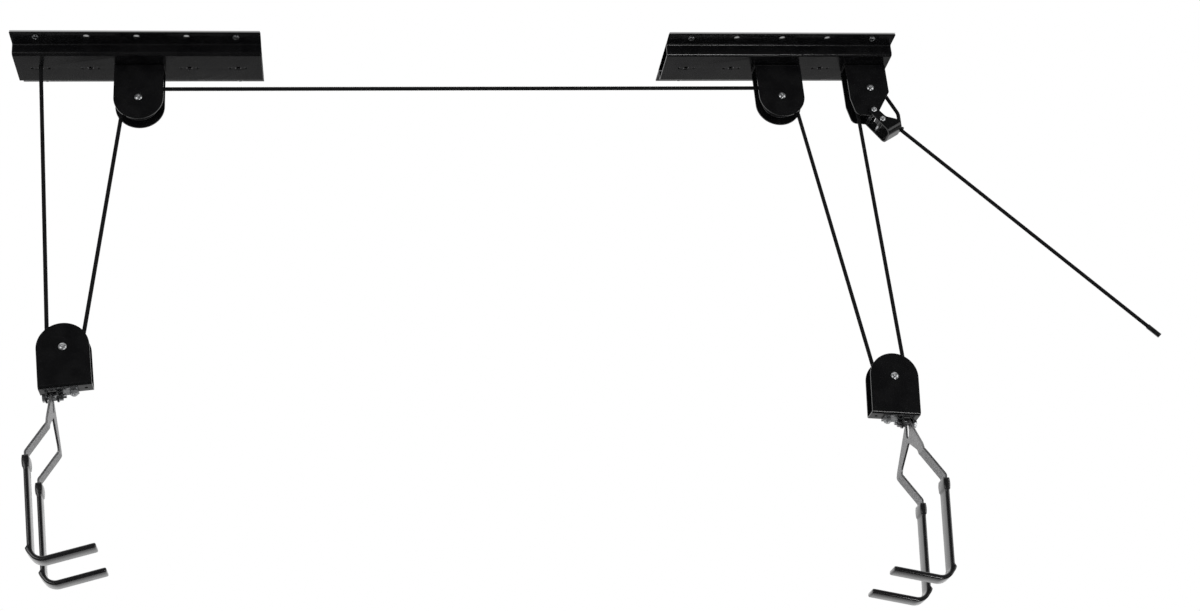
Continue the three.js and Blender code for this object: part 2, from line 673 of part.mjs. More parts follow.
const runs = route.slice(1).map((wheel, i) => tangentRun(route[i], wheel));

const wrapStep = 0.27; // radians between the points of rope on a sheave

// The arc of rope on a sheave, between the runs before and after it.
function wrap(index) {
  const wheel = route[index];
  const centre = corner(wheel.x, wheel.z);
  const [start, end] = [runs[index - 1][1], runs[index][0]];
  let sweepAngle = end.clone().sub(centre).angle() - start.clone().sub(centre).angle();
  if (wheel.turn > 0 && sweepAngle > 0) sweepAngle -= 2 * Math.PI;
  if (wheel.turn < 0 && sweepAngle < 0) sweepAngle += 2 * Math.PI;
  const count = Math.ceil(Math.abs(sweepAngle) / wrapStep);
  const at = (k) => start.clone().rotateAround(centre, (sweepAngle * k) / count);
  return Array.from({ length: count + 1 }, (_, k) => at(k));
}

// A sweep path whose steps are the given points, in the plane y = 0.
class StationPath extends THREE.Curve {
  constructor(points) {
    super();
    this.points = points.map(({ x, y }) => new THREE.Vector3(x, 0, y));
  }

  getPoint(t, target = new THREE.Vector3()) {
    return target.copy(this.points[Math.round(t * (this.points.length - 1))]);
  }

  getPointAt(u, target) {
    return this.getPoint(u, target);
  }

  getTangentAt(u, target = new THREE.Vector3()) {
    const i = Math.round(u * (this.points.length - 1));
    const before = this.points[Math.max(i - 1, 0)];
    const after = this.points[Math.min(i + 1, this.points.length - 1)];
    return target.copy(after).sub(before).normalize();
  }
}

function cord(points, sides = 8) {
  const section = new THREE.Shape(Array.from({ length: sides }, (_, k) => {
    const angle = (2 * Math.PI * (k + 0.5)) / sides;
    return corner((rope / 2) * Math.cos(angle), (rope / 2) * Math.sin(angle));
  }));
  const extrudePath = new StationPath(points);
  return new THREE.ExtrudeGeometry(section, { steps: points.length - 1, extrudePath, bevelEnabled: false });
}

// A run shortened by half a seat at each end, where it meets the next piece of rope.
function trimmed(points, first = seat / 2, last = seat / 2) {
  const moved = (from, to, by) => from.clone().addScaledVector(to.clone().sub(from).normalize(), by);
  const end = points.length - 1;
  return points.map((point, i) => {
    if (i === 0) return moved(point, points[1], first);
    if (i === end) return moved(point, points[end - 1], last);
    return point;
  });
}

// A stopper knot on the rope's end: a ball with a short stub of rope, drawn along +Z.
function stopperKnot(stub) {
  const r = knot / 2;
  const neck = rope / 2;
  const bands = 8;
  const ball = Array.from({ length: bands - 1 }, (_, k) => {
    const angle = Math.PI * ((k + 1) / bands - 0.5);
    return [r * Math.cos(angle), r * Math.sin(angle)];
  }).filter(([radius]) => radius > neck);
  return turned([[0, -r - stub], [neck, -r - stub], ...ball, [neck, r + neck], [0, r + neck]], 'z', 10);
}

const underCrown = ropeStart.z - sheet;
const knotSeat = crownFace + sheet + seat + knot / 2;
const firstRun = runs[0];
const firstStart = firstRun[0].clone().lerp(firstRun[1], sheet / (firstRun[0].y - firstRun[1].y));
add('rope_start_knot', stopperKnot(knotSeat - knot / 2 - underCrown), braid)
  .position.set(ropeStart.x, 0, knotSeat);
add('rope_left_outer_fall', cord(trimmed([firstStart, firstRun[1]], seat)), braid);
add('rope_left_hook_turn', cord(trimmed(wrap(1))), braid);
add('rope_left_inner_fall', cord(trimmed(runs[1])), braid);
add('rope_overhead_run', cord(trimmed([...wrap(2), ...wrap(3)])), braid);
add('rope_right_inner_fall', cord(trimmed(runs[3])), braid);
add('rope_right_hook_turn', cord(trimmed(wrap(4))), braid);
add('rope_right_outer_fall', cord(trimmed(runs[4])), braid);
add('rope_lock_turn', cord(trimmed(wrap(5))), braid);

// From the lock sheave the rope drops along the arm's outer end to the eye, and the tail leaves it slanting.
const leadLine = roundedLine([...runs[5], ringCentre], [leadBend]);
const tailWay = corner(tailDirection.x, tailDirection.z).normalize();
const tailEnd = ringCentre.clone().addScaledVector(tailWay, tailLength);
add('rope_lock_lead', cord(trimmed(leadLine)), braid);
const tailSteps = 14;
const tailAt = (k) => ringCentre.clone().lerp(tailEnd, k / tailSteps);
const tailLine = Array.from({ length: tailSteps + 1 }, (_, k) => tailAt(k));
add('rope_tail', cord(trimmed(tailLine, rope / 2, seat)), braid);
const endProfile = [[0, 0], [endSleeve / 2, 0], [endSleeve / 2, endSleeveLength], [0, endSleeveLength]];
const sleeveEnd = add('rope_end_sleeve', turned(endProfile, 'y', 10), vinyl);
sleeveEnd.position.set(tailEnd.x, 0, tailEnd.y);
const tailAxis = new THREE.Vector3(tailWay.x, 0, tailWay.y);
sleeveEnd.quaternion.setFromUnitVectors(new THREE.Vector3(0, 1, 0), tailAxis);

export default model;
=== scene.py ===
import json
import math

import bmesh
import bpy
import numpy as np
from mathutils import Matrix, Vector, geometry


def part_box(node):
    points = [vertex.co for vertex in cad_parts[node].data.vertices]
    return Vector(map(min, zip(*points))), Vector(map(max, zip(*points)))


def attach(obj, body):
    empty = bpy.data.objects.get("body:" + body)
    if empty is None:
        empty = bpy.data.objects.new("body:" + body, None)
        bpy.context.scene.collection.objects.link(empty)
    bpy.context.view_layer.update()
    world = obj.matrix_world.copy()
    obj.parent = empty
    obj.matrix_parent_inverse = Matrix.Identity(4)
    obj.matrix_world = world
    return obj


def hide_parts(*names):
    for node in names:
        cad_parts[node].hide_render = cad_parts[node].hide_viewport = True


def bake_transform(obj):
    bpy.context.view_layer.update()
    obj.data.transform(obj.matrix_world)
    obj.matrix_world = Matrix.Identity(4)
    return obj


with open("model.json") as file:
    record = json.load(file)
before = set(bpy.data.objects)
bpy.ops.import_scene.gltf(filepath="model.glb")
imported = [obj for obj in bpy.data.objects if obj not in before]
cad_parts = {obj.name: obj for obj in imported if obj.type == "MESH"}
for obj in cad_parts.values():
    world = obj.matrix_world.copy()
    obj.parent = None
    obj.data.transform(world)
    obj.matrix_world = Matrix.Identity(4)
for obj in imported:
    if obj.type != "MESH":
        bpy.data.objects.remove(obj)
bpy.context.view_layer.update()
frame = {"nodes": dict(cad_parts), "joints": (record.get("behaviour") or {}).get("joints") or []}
joints = {joint["name"]: joint for joint in frame["joints"]}

# ---------------------------------------------------------------- camera
# A long lens below the rack and a little to its left, looking up at about 24 degrees, as someone
# standing in front of it would.
camera_place = Vector((-0.1653, -1.8458, -1.1625))
camera_right = Vector((0.98885, -0.12648, -0.07868))
camera_up = Vector((0.01957, -0.41335, 0.91037))
camera_lens = bpy.data.cameras.new("camera")
camera_lens.lens = 54
camera_lens.sensor_width = 36
camera = bpy.data.objects.new("camera", camera_lens)
camera_axes = Matrix((camera_right, camera_up, camera_right.cross(camera_up))).transposed()
camera.matrix_world = Matrix.Translation(camera_place) @ camera_axes.to_4x4()
bpy.context.scene.collection.objects.link(camera)
bpy.context.scene.camera = camera

# ---------------------------------------------------------------- rope
# One length of black braided polyester, 4.5 mm through: from a knot above the left bracket's crown it
# runs under the left hook sheave, over both upper sheaves, under the right hook sheave and over the lock
# sheave, down to the eye of the lock arm.
rope_radius = 0.00225
rope_strands = 6  # that run each way round the rope
rope_lay = 0.015  # length in which a strand goes once round
rope_weave = 0.00016  # how far a strand stands proud of the one that it crosses
rope_level = 0.4  # share of that at which the rope has its radius
rope_ring = 0.0005  # from one ring of the mesh to the next
rope_sides = 36
pitch_radius = 0.0175  # of every sheave, to the middle of the rope


def node(tree, kind, inputs=None, **settings):
    """A shader node, with each input given as a value or as the output that feeds it."""
    made = tree.nodes.new(kind)
    for key, value in settings.items():
        setattr(made, key, value)
    for key, value in (inputs or {}).items():
        if isinstance(value, bpy.types.NodeSocket):
            tree.links.new(value, made.inputs[key])
        else:
            made.inputs[key].default_value = value
    return made


def noise(tree, scale):
    place = node(tree, "ShaderNodeTexCoord").outputs["Object"]
    inputs = {"Vector": place, "Scale": scale, "Detail": 3.0}
    return node(tree, "ShaderNodeTexNoise", inputs).outputs["Fac"]


def blend_colours(tree, factor, dark, light):
    ramp = node(tree, "ShaderNodeValToRGB", {"Fac": factor})
    for stop, place, colour in zip(ramp.color_ramp.elements, (0.4, 0.6), (dark, light)):
        stop.position = place
        stop.color = (*colour, 1)
    return ramp.outputs["Color"]


def ranged(tree, value, low, high, first=0.0, last=1.0):
    """The value's place from first to last, as a place from low to high."""
    inputs = {"Value": value, "From Min": first, "From Max": last, "To Min": low, "To Max": high}
    return node(tree, "ShaderNodeMapRange", inputs).outputs["Result"]


def finish_of(name, slot, colour, roughness, relief, **sockets):
    """A material. Colour and roughness are (noise scale, two values that the noise moves between), and relief
    is (noise scale, height, strength)."""
    made = bpy.data.materials.new(name)
    made.use_nodes = True
    made["slot"] = slot
    tree = made.node_tree
    shader = tree.nodes["Principled BSDF"]
    for key, value in sockets.items():
        shader.inputs[key.replace("_", " ")].default_value = value
    colour_scale, dark, light = colour
    mixed = blend_colours(tree, noise(tree, colour_scale), dark, light)
    tree.links.new(mixed, shader.inputs["Base Color"])
    rough_scale, low, high = roughness
    rough = ranged(tree, noise(tree, rough_scale), low, high, 0.3, 0.7)
    tree.links.new(rough, shader.inputs["Roughness"])
    scale, height, strength = relief
    inputs = {"Height": noise(tree, scale), "Distance": height, "Strength": strength}
    bump = node(tree, "ShaderNodeBump", inputs)
    tree.links.new(bump.outputs["Normal"], shader.inputs["Normal"])
    return made


braid = finish_of(
    "braided polyester", "rope_braid",
    (900, (0.0025, 0.0025, 0.003), (0.009, 0.009, 0.010)), (1500, 0.7, 0.9), (6000, 0.0001, 0.4),
    Specular_IOR_Level=0.2,
)


def piece(mesh, name, material, body, *replaced):
    """Links a mesh as a piece of the rack, with its finish, the body that it rides on and the CAD nodes that
    it stands for."""
    made = bpy.data.objects.new(name, mesh)
    bpy.context.scene.collection.objects.link(made)
    mesh.materials.append(material)
    if body:
        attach(made, body)
    if replaced:
        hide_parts(*replaced)
    return made


def run_between(a, b):
    """The straight rope between two wheels (x, z, radius, turn), where turn is 1 clockwise seen along +Y."""
    along = Vector((b[0] - a[0], b[1] - a[1]))
    distance = along.length
    along /= distance
    lean = (a[3] * a[2] - b[3] * b[2]) / distance
    normal = along * lean + Vector((-along.y, along.x)) * math.sqrt(1 - lean * lean)
    return [Vector(wheel[:2]) + normal * wheel[3] * wheel[2] for wheel in (a, b)]


def rope_round(wheel, start, end):
    """The rope's arc on a wheel, from where one run meets it to where the next leaves it."""
    centre = Vector(wheel[:2])
    first, last = [math.atan2((p - centre).y, (p - centre).x) for p in (start, end)]
    sweep = (last - first) % (2 * math.pi)
    if wheel[3] > 0:
        sweep -= 2 * math.pi
    count = max(2, math.ceil(abs(sweep) * wheel[2] / rope_ring))
    angles = [first + sweep * k / count for k in range(count + 1)]
    return [centre + wheel[2] * Vector((math.cos(a), math.sin(a))) for a in angles]


def rounded(corners, radii, step=0.12):
    """A line through corners, each inner one rounded to its radius with an arc of short steps."""
    line = [Vector(corners[0])]
    for before, here, after, radius in zip(corners, corners[1:], corners[2:], radii):
        before, here, after = Vector(before), Vector(here), Vector(after)
        into, out = (here - before).normalized(), (after - here).normalized()
        turn = math.atan2(into.x * out.y - into.y * out.x, into.dot(out))
        start = here - into * radius * math.tan(abs(turn) / 2)
        middle = start + Vector((-into.y, into.x)) * math.copysign(radius, turn)
        count = max(2, math.ceil(abs(turn) / step))
        for k in range(count + 1):
            line.append(middle + Matrix.Rotation(turn * k / count, 2) @ (start - middle))
    return [*line, Vector(corners[-1])]


def braided(name, points, fed):
    """A mesh tube of braided rope along points in the plane y = 0; fed is the length of rope before it."""
    route = np.array([(p[0], 0, p[1]) for p in points], float)
    steps = np.r_[0, np.cumsum(np.linalg.norm(np.diff(route, axis=0), axis=1))]
    along = np.linspace(0, steps[-1], max(2, round(steps[-1] / rope_ring)) + 1)
    centre = np.stack([np.interp(along, steps, route[:, k]) for k in range(3)], axis=1)
    tangent = np.gradient(centre, axis=0)
    tangent /= np.linalg.norm(tangent, axis=1, keepdims=True)
    side = np.array((0.0, 1.0, 0.0))
    normal = np.cross(side, tangent)
    angle = 2 * math.pi * np.arange(rope_sides) / rope_sides
    turned = rope_strands * angle[None, :] / (2 * math.pi)
    crossed = (along + fed)[:, None] * rope_strands / rope_lay
    heights = []
    ways = (turned + crossed, turned - crossed)
    for mine, other, sign in ((*ways, 1), (*reversed(ways), -1)):
        across = 2 * (mine % 1) - 1
        over = sign * (1 - 2 * (np.floor(mine) % 2)) * np.sin(math.pi * other)
        heights.append(over - across ** 2)
    radius = rope_radius + rope_weave * (np.maximum(*heights) - rope_level)
    ring = np.cos(angle)[None, :, None] * normal[:, None, :] + np.sin(angle)[None, :, None] * side
    places = centre[:, None, :] + radius[:, :, None] * ring
    rings = len(along)
    faces = [
        (i * rope_sides + k, i * rope_sides + (k + 1) % rope_sides,
         (i + 1) * rope_sides + (k + 1) % rope_sides, (i + 1) * rope_sides + k)
        for i in range(rings - 1) for k in range(rope_sides)
    ]
    faces.append(tuple(reversed(range(rope_sides))))
    faces.append(tuple((rings - 1) * rope_sides + k for k in range(rope_sides)))
    mesh = bpy.data.meshes.new(name)
    mesh.from_pydata(places.reshape(-1, 3).tolist(), [], faces)
    mesh.shade_smooth()
    return mesh


def wheel_at(joint, turn):
    """A sheave for run_between and rope_round, with its middle on a joint's axis."""
    x, _, z = joints[joint]["pos_m"]
    return (x, z, pitch_radius, turn)


rope_start = (-0.492, -0.016, 0, 1)  # under the knot in the left bracket's crown
lock_pivot = Vector(joints["lock_arm_swing"]["pos_m"]).xz
lock_eye = lock_pivot + Vector((0.0342, -0.0200))
lead_turn = lock_eye + Vector((0.0004, 0.022))  # where the rope turns down to the eye
tail_way = Vector((0.699, -0.715)).normalized()
rope_wheels = [
    rope_start,
    wheel_at("left_hook_sheave_turn", -1),
    wheel_at("left_top_sheave_turn", 1),
    wheel_at("right_top_sheave_turn", 1),
    wheel_at("right_hook_sheave_turn", -1),
    wheel_at("lock_sheave_turn", 1),
    (*lead_turn, 0, 1),
]
rope_runs = [run_between(a, b) for a, b in zip(rope_wheels, rope_wheels[1:])]
rope_wraps = [
    rope_round(wheel, before[1], after[0])
    for wheel, before, after in zip(rope_wheels[1:], rope_runs, rope_runs[1:])
]
lead_end = lock_eye + tail_way * 0.0025
lead_radii = [0.012, 0.006]  # at lead_turn and in the eye
lock_lead = rounded([*rope_runs[-1], lock_eye, lead_end], lead_radii)
rope_fed = 0.0
for name, points, body in [
    ("left_outer_fall", rope_runs[0], "left_lift"),
    ("left_hook_turn", rope_wraps[0], "left_lift"),
    ("left_inner_fall", rope_runs[1], "left_lift"),
    ("overhead_run", rope_wraps[1] + rope_wraps[2], "root"),
    ("right_inner_fall", rope_runs[3], "right_lift"),
    ("right_hook_turn", rope_wraps[3], "right_lift"),
    ("right_outer_fall", rope_runs[4], "right_lift"),
    ("lock_turn", rope_wraps[4], "root"),
    ("lock_lead", lock_lead, "lock_arm_body"),
]:
    bends = name.endswith("fall") or name == "lock_lead"
    mesh = braided(name, points, rope_fed)
    made = piece(mesh, f"braided_{name}", braid, None if bends else body, f"rope_{name}")
    if bends:
        high = max(points, key=lambda point: point[1])
        low = min(points, key=lambda point: point[1])
        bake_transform(made)
    rope_fed += sum((Vector(b) - Vector(a)).length for a, b in zip(points, points[1:]))

# The tail: the rope's free end, drawn off to one side from the lock arm's eye and closed by a sleeve.
tail_length = 0.375
tail_steps = 14
tail_points = [lock_eye + tail_way * tail_length * k / tail_steps for k in range(tail_steps + 1)]
tail = piece(braided("tail", tail_points, rope_fed), "braided_tail", braid, "lock_arm_body", "rope_tail")

# ---------------------------------------------------------------- room and light
# A plain pale floor one storey down, a white ceiling that shows only from below and has painted shade over
# the brackets, and soft white light from three lamps and a white wall behind the rack. The floor isn't
# mirrored in the glossy coats.
floor_drop = 2.4
scene = bpy.context.scene
scene.view_settings.view_transform = "Standard"


def plane(name, size, height):
    """A level square of the stage, and the empty node tree of its paint."""
    mesh = bpy.data.meshes.new(name)
    corners = [(x * size, y * size, height) for x, y in ((-1, -1), (1, -1), (1, 1), (-1, 1))]
    mesh.from_pydata(corners, [], [(0, 1, 2, 3)])
    made = bpy.data.objects.new(name, mesh)
    scene.collection.objects.link(made)
    paint = bpy.data.materials.new(name)
    paint.use_nodes = True
    paint.node_tree.nodes.clear()
    mesh.materials.append(paint)
    return paint.node_tree


def maths(tree, operation, *values):
    """The output of a Math node."""
    return node(tree, "ShaderNodeMath", dict(enumerate(values)), operation=operation).outputs[0]


def paint_with(tree, factor, first, second):
    """Gives a material its surface: the first shader where the factor is 0, and the second where it is 1."""
    mixed = node(tree, "ShaderNodeMixShader", {0: factor, 1: first.outputs[0], 2: second.outputs[0]})
    node(tree, "ShaderNodeOutputMaterial", {"Surface": mixed.outputs[0]})


tree = plane("floor", 5, -floor_drop)
rays = node(tree, "ShaderNodeLightPath")
matt = node(tree, "ShaderNodeBsdfDiffuse", {"Color": (0.82, 0.82, 0.82, 1)})
paint_with(tree, rays.outputs["Is Glossy Ray"], matt, node(tree, "ShaderNodeBsdfTransparent"))

# Painted shade on the ceiling: its white is dimmed nearly to black over a bracket's crown, where hardly any
# light reaches, and to a grey over its flanges, as little light gets through their holes.
bracket_middle = 0.38
painted_shade_over_flanges = (0.1395, 0.0545, 0.3)  # half length, half width, level of the painted shade
painted_shade_over_crown = (0.1398, 0.034, 0.0005)
tree = plane("ceiling", 3, 0.0004)
rays = node(tree, "ShaderNodeLightPath")
facing = node(tree, "ShaderNodeNewGeometry")
from_below = maths(tree, "MULTIPLY", rays.outputs["Is Camera Ray"], facing.outputs["Backfacing"])
spot = node(tree, "ShaderNodeSeparateXYZ", {0: facing.outputs["Position"]})
flank = maths(tree, "ABSOLUTE", spot.outputs["X"])
glow_with_painted_shade = 1.0
# Each pass paints a darker patch of shade into the ceiling's white.
for half_length, half_width, level in (painted_shade_over_flanges, painted_shade_over_crown):
    across = maths(tree, "COMPARE", spot.outputs["Y"], 0.0, half_width)
    along = maths(tree, "COMPARE", flank, bracket_middle, half_length)
    glow_with_painted_shade = ranged(tree, maths(tree, "MULTIPLY", across, along), glow_with_painted_shade, level)
white_with_painted_shade = node(tree, "ShaderNodeEmission", {"Strength": glow_with_painted_shade})
paint_with(tree, from_below, node(tree, "ShaderNodeBsdfTransparent"), white_with_painted_shade)

# What the glossy pieces mirror: a white wall on the far side, a dim room on the near side, where whoever
# looks on stands, and a bright ceiling. What is seen past the rack is plain white.
world = bpy.data.worlds.new("studio")
world.use_nodes = True
scene.world = world
tree = world.node_tree
tree.nodes.clear()
rays = node(tree, "ShaderNodeLightPath")
seen = maths(tree, "MAXIMUM", rays.outputs["Is Camera Ray"], rays.outputs["Is Transmission Ray"])
way = node(tree, "ShaderNodeSeparateXYZ", {0: node(tree, "ShaderNodeTexCoord").outputs["Generated"]})
wall = ranged(tree, way.outputs["Y"], 0.05, 1.0, -0.35, 0.25)
below = ranged(tree, way.outputs["Z"], 0.06, 1.0, -0.6, -0.28)
above = ranged(tree, way.outputs["Z"], 0.0, 1.0, 0.6, 0.85)
around = maths(tree, "MAXIMUM", maths(tree, "MINIMUM", wall, below), above)
lit = ranged(tree, rays.outputs["Is Glossy Ray"], 0.62, around)
sky = node(tree, "ShaderNodeBackground", {"Strength": ranged(tree, seen, lit, 1.0)})
node(tree, "ShaderNodeOutputWorld", {"Surface": sky.outputs[0]})

lamp_aim = Vector((0, 0, -0.2))
for name, place, width, height, power in [
    ("key", (-1.6, -2.0, -0.5), 1.4, 1.4, 12),
    ("low", (0.75, -1.2, -1.9), 0.4, 0.4, 6),
    ("side", (2.0, -1.2, -0.2), 1.2, 1.2, 8),
]:
    lamp = bpy.data.lights.new(name, "AREA")
    lamp.shape = "RECTANGLE"
    lamp.size, lamp.size_y = width, height
    lamp.energy = power
    holder = bpy.data.objects.new(name, lamp)
    holder.location = place
    holder.rotation_mode = "QUATERNION"
    holder.rotation_quaternion = (lamp_aim - Vector(place)).to_track_quat("-Z", "Y")
    holder.visible_camera = False
    scene.collection.objects.link(holder)

# ---------------------------------------------------------------- ceiling brackets
# Hat-section channels of 2 mm steel: punched flat, then folded four times, so that two flanges lie on the
# ceiling and a wide crown hangs below. Gloss black powder coat.
sheet = 0.002
crown_half = 0.03
bracket_fold = 0.003  # radius of the sheet's middle
bracket_edge = 0.0003
station_pitch = 0.056
stations = [n * station_pitch for n in (-2, -1, 0, 1, 2)]
flange_hole = (0.00325, 0.0067)  # radius, middle to the flange's edge
crown_hole = 0.00325
rivet_hole = (0.0018, 0.0093)  # radius, middle to the crown hole's middle

black_coat = finish_of(
    "black powder coat", "black_coat",
    (60, (0.0035, 0.0035, 0.004), (0.006, 0.006, 0.0065)), (45, 0.14, 0.22), (1100, 0.00004, 0.22),
    IOR=1.5,
)
quarter = math.pi / 2


def circle(x, y, radius, count=40):
    """Points round a middle, anticlockwise."""
    angles = [2 * math.pi * k / count for k in range(count)]
    return [Vector((x + radius * math.cos(a), y + radius * math.sin(a))) for a in angles]


def inset(loop, distance):
    """A closed loop moved to its left by a distance, corner by corner, with a limit at sharp corners."""
    sharpest = 0.3
    moved = []
    for i, here in enumerate(loop):
        into = (here - loop[i - 1]).normalized()
        out = (loop[(i + 1) % len(loop)] - here).normalized()
        normal = Vector((-into.y - out.y, into.x + out.x)) / max(1 + into.dot(out), sharpest)
        moved.append(here + normal * distance)
    return moved


def tidy_loop(loop):
    """The loop without doubled corners, anticlockwise."""
    kept = [p for i, p in enumerate(loop) if (p - loop[i - 1]).length > 1e-6]
    area = sum(a.x * b.y - a.y * b.x for a, b in zip(kept, kept[1:] + kept[:1]))
    return kept if area > 0 else kept[::-1]


def blank(outline, holes, thickness, edge):
    """A flat piece of sheet in the plane z = 0, with holes, its edges rounded to a small radius."""
    loops = [tidy_loop(outline)] + [tidy_loop(hole)[::-1] for hole in holes]
    half = thickness / 2
    profile = []
    for k in range(4):
        angle = quarter * k / 3
        profile.append((edge * (1 - math.sin(angle)), half - edge * (1 - math.cos(angle))))
    profile += [(depth, -height) for depth, height in reversed(profile)]
    bm = bmesh.new()
    caps = {0: [], len(profile) - 1: []}
    for loop in loops:
        rows = [[bm.verts.new((*p, height)) for p in inset(loop, depth)] for depth, height in profile]
        for upper, lower in zip(rows, rows[1:]):
            for i in range(len(loop)):
                bm.faces.new((upper[i - 1], lower[i - 1], lower[i], upper[i]))
        for level, rings in caps.items():
            rings.append(rows[level])
    for level, rings in caps.items():
        corners = [v for ring in rings for v in ring]
        for triangle in geometry.tessellate_polygon([[v.co for v in ring] for ring in rings]):
            face = bm.faces.new([corners[i] for i in triangle])
            face.normal_update()
            if (face.normal.z > 0) != (level == 0):
                face.normal_flip()
    return bm


def fold(bm, bends, cuts=10):
    """Bends a flat blank. Each bend is (start, away, radius, degrees): a positive angle turns it up, and the
    bends that lie further out come later in the list."""
    for start, away, radius, degrees in bends:
        reach = radius * math.radians(abs(degrees))
        for k in range(cuts + 1):
            place = Vector(start) + Vector(away) * reach * k / cuts
            bmesh.ops.bisect_plane(
                bm, geom=[*bm.verts, *bm.edges, *bm.faces], dist=1e-7,
                plane_co=(*place, 0), plane_no=(*away, 0),
            )
    flat = [v.co.copy() for v in bm.verts]
    for start, away, radius, degrees in reversed(bends):
        turn, sign = math.radians(abs(degrees)), math.copysign(1, degrees)
        reach = radius * turn
        out = Vector((*away, 0))
        up = Vector((0, 0, sign))
        axis = out.cross(up)
        base = Vector((*start, 0))
        landing = base + out * radius * math.sin(turn) + up * radius * (1 - math.cos(turn))
        swing = Matrix.Rotation(turn, 3, axis)
        for v, rest in zip(bm.verts, flat):
            beyond = (rest - base).dot(out)
            if beyond <= 0:
                continue
            if beyond >= reach:
                v.co = swing @ (v.co - base - out * reach) + landing
                continue
            angle = beyond / radius
            height = rest.dot(up)
            foot = rest - out * beyond - up * height
            v.co = foot + out * (radius - height) * math.sin(angle)
            v.co += up * (radius - (radius - height) * math.cos(angle))
    return bm


def mesh_of(bm, name, placed=Matrix.Identity(4)):
    """The finished mesh: moved to its place, its normals turned outward, and shaded smooth."""
    bm.transform(placed)
    bmesh.ops.recalc_face_normals(bm, faces=bm.faces)
    mesh = bpy.data.meshes.new(name)
    bm.to_mesh(mesh)
    bm.free()
    mesh.shade_smooth()
    return mesh


def flatten(made):
    """Keeps flat faces flat where they meet rounded edges."""
    weighted = made.modifiers.new("flats", "WEIGHTED_NORMAL")
    weighted.mode = "FACE_AREA_WITH_ANGLE"
    weighted.weight = 80
    return made


for side in ("left", "right"):
    low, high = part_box(f"{side}_bracket")
    half_length, half_width, drop = (high.x - low.x) / 2, high.y, -low.z
    web = crown_half - sheet / 2  # middle plane to the sheet's middle in each web
    crown_flat = web - bracket_fold
    web_flat = drop - sheet - 2 * bracket_fold
    second_fold = crown_flat + quarter * bracket_fold + web_flat
    flange_start = second_fold + quarter * bracket_fold
    blank_half = flange_start + half_width - web - bracket_fold
    holes = []
    for x in stations:
        for y in (-1, 1):
            holes.append(circle(x, y * (blank_half - flange_hole[1]), flange_hole[0]))
            holes.append(circle(x + y * rivet_hole[1], 0, rivet_hole[0], 28))
        holes.append(circle(x, 0, crown_hole))
    corners = [
        Vector((half_length * x, blank_half * y))
        for x, y in ((-1, -1), (1, -1), (1, 1), (-1, 1))
    ]
    bm = blank(corners, holes, sheet, bracket_edge)
    fold(bm, [
        ((0, crown_flat), (0, 1), bracket_fold, 90), ((0, second_fold), (0, 1), bracket_fold, -90),
        ((0, -crown_flat), (0, -1), bracket_fold, 90), ((0, -second_fold), (0, -1), bracket_fold, -90),
    ])
    placed = Matrix.Translation(((low.x + high.x) / 2, 0, sheet / 2 - drop))
    name = f"{side}_channel"
    flatten(piece(mesh_of(bm, name, placed), name, black_coat, "root", f"{side}_bracket"))

# ---------------------------------------------------------------- ceiling screws
# Pan-head wood screws of zinc-plated steel with a cross recess, one at each end hole of each flange.
# A darker copy of the zinc plate of the rivets: painted shade for the ceiling screws, and for the hangers and
# nuts under the hook blocks.
shaded_zinc = finish_of(
    "shaded zinc plate", "zinc",
    (400, (0.20, 0.205, 0.21), (0.30, 0.305, 0.31)), (300, 0.20, 0.34), (2500, 0.00002, 0.25),
    Metallic=1.0,
)


def lathe(profile, sides, along="z"):
    """A turned piece. Its profile is (radius, height), from one end of the axis to the other, or a ring."""
    bm = bmesh.new()
    rows = []
    for radius, height in profile:
        if radius < 1e-7:
            rows.append([bm.verts.new((0, 0, height))])
            continue
        rows.append([bm.verts.new((*p, height)) for p in circle(0, 0, radius, sides)])
    if min(profile[0][0], profile[-1][0]) > 1e-7:
        rows.append(rows[0])
    for upper, lower in zip(rows, rows[1:]):
        for i in range(sides):
            around = [upper[i - 1] if len(upper) > 1 else None, upper[i % len(upper)]]
            around += [lower[i % len(lower)], lower[i - 1] if len(lower) > 1 else None]
            bm.faces.new([v for v in around if v is not None])
    if along == "y":
        bm.transform(Matrix.Rotation(-quarter, 4, "X"))
    return bm


screw_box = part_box("left_screw_outer_front")
screw_head = (screw_box[1].x - screw_box[0].x) / 2
screw_face, screw_tip = screw_box[0].z, screw_box[1].z
screw_flat = screw_head * 0.6
screw_under = -sheet - 0.0003
screw_rim = 0.0006
screw_edge = 0.0002
screw_shank, screw_core = 0.0021, 0.0015
thread_start, thread_pitch = 0.003, 0.0018
screw_plain = 0.010  # of its length over the ceiling, as shank and point
recess = [(2.1, 0.5), (0.5, 0.5), (0.5, 2.1)]  # a quarter of the cross, in millimetres
recess_floors = ((1, 0), (0.85, 0.0010), (0.35, 0.0019))  # share of the cross, depth


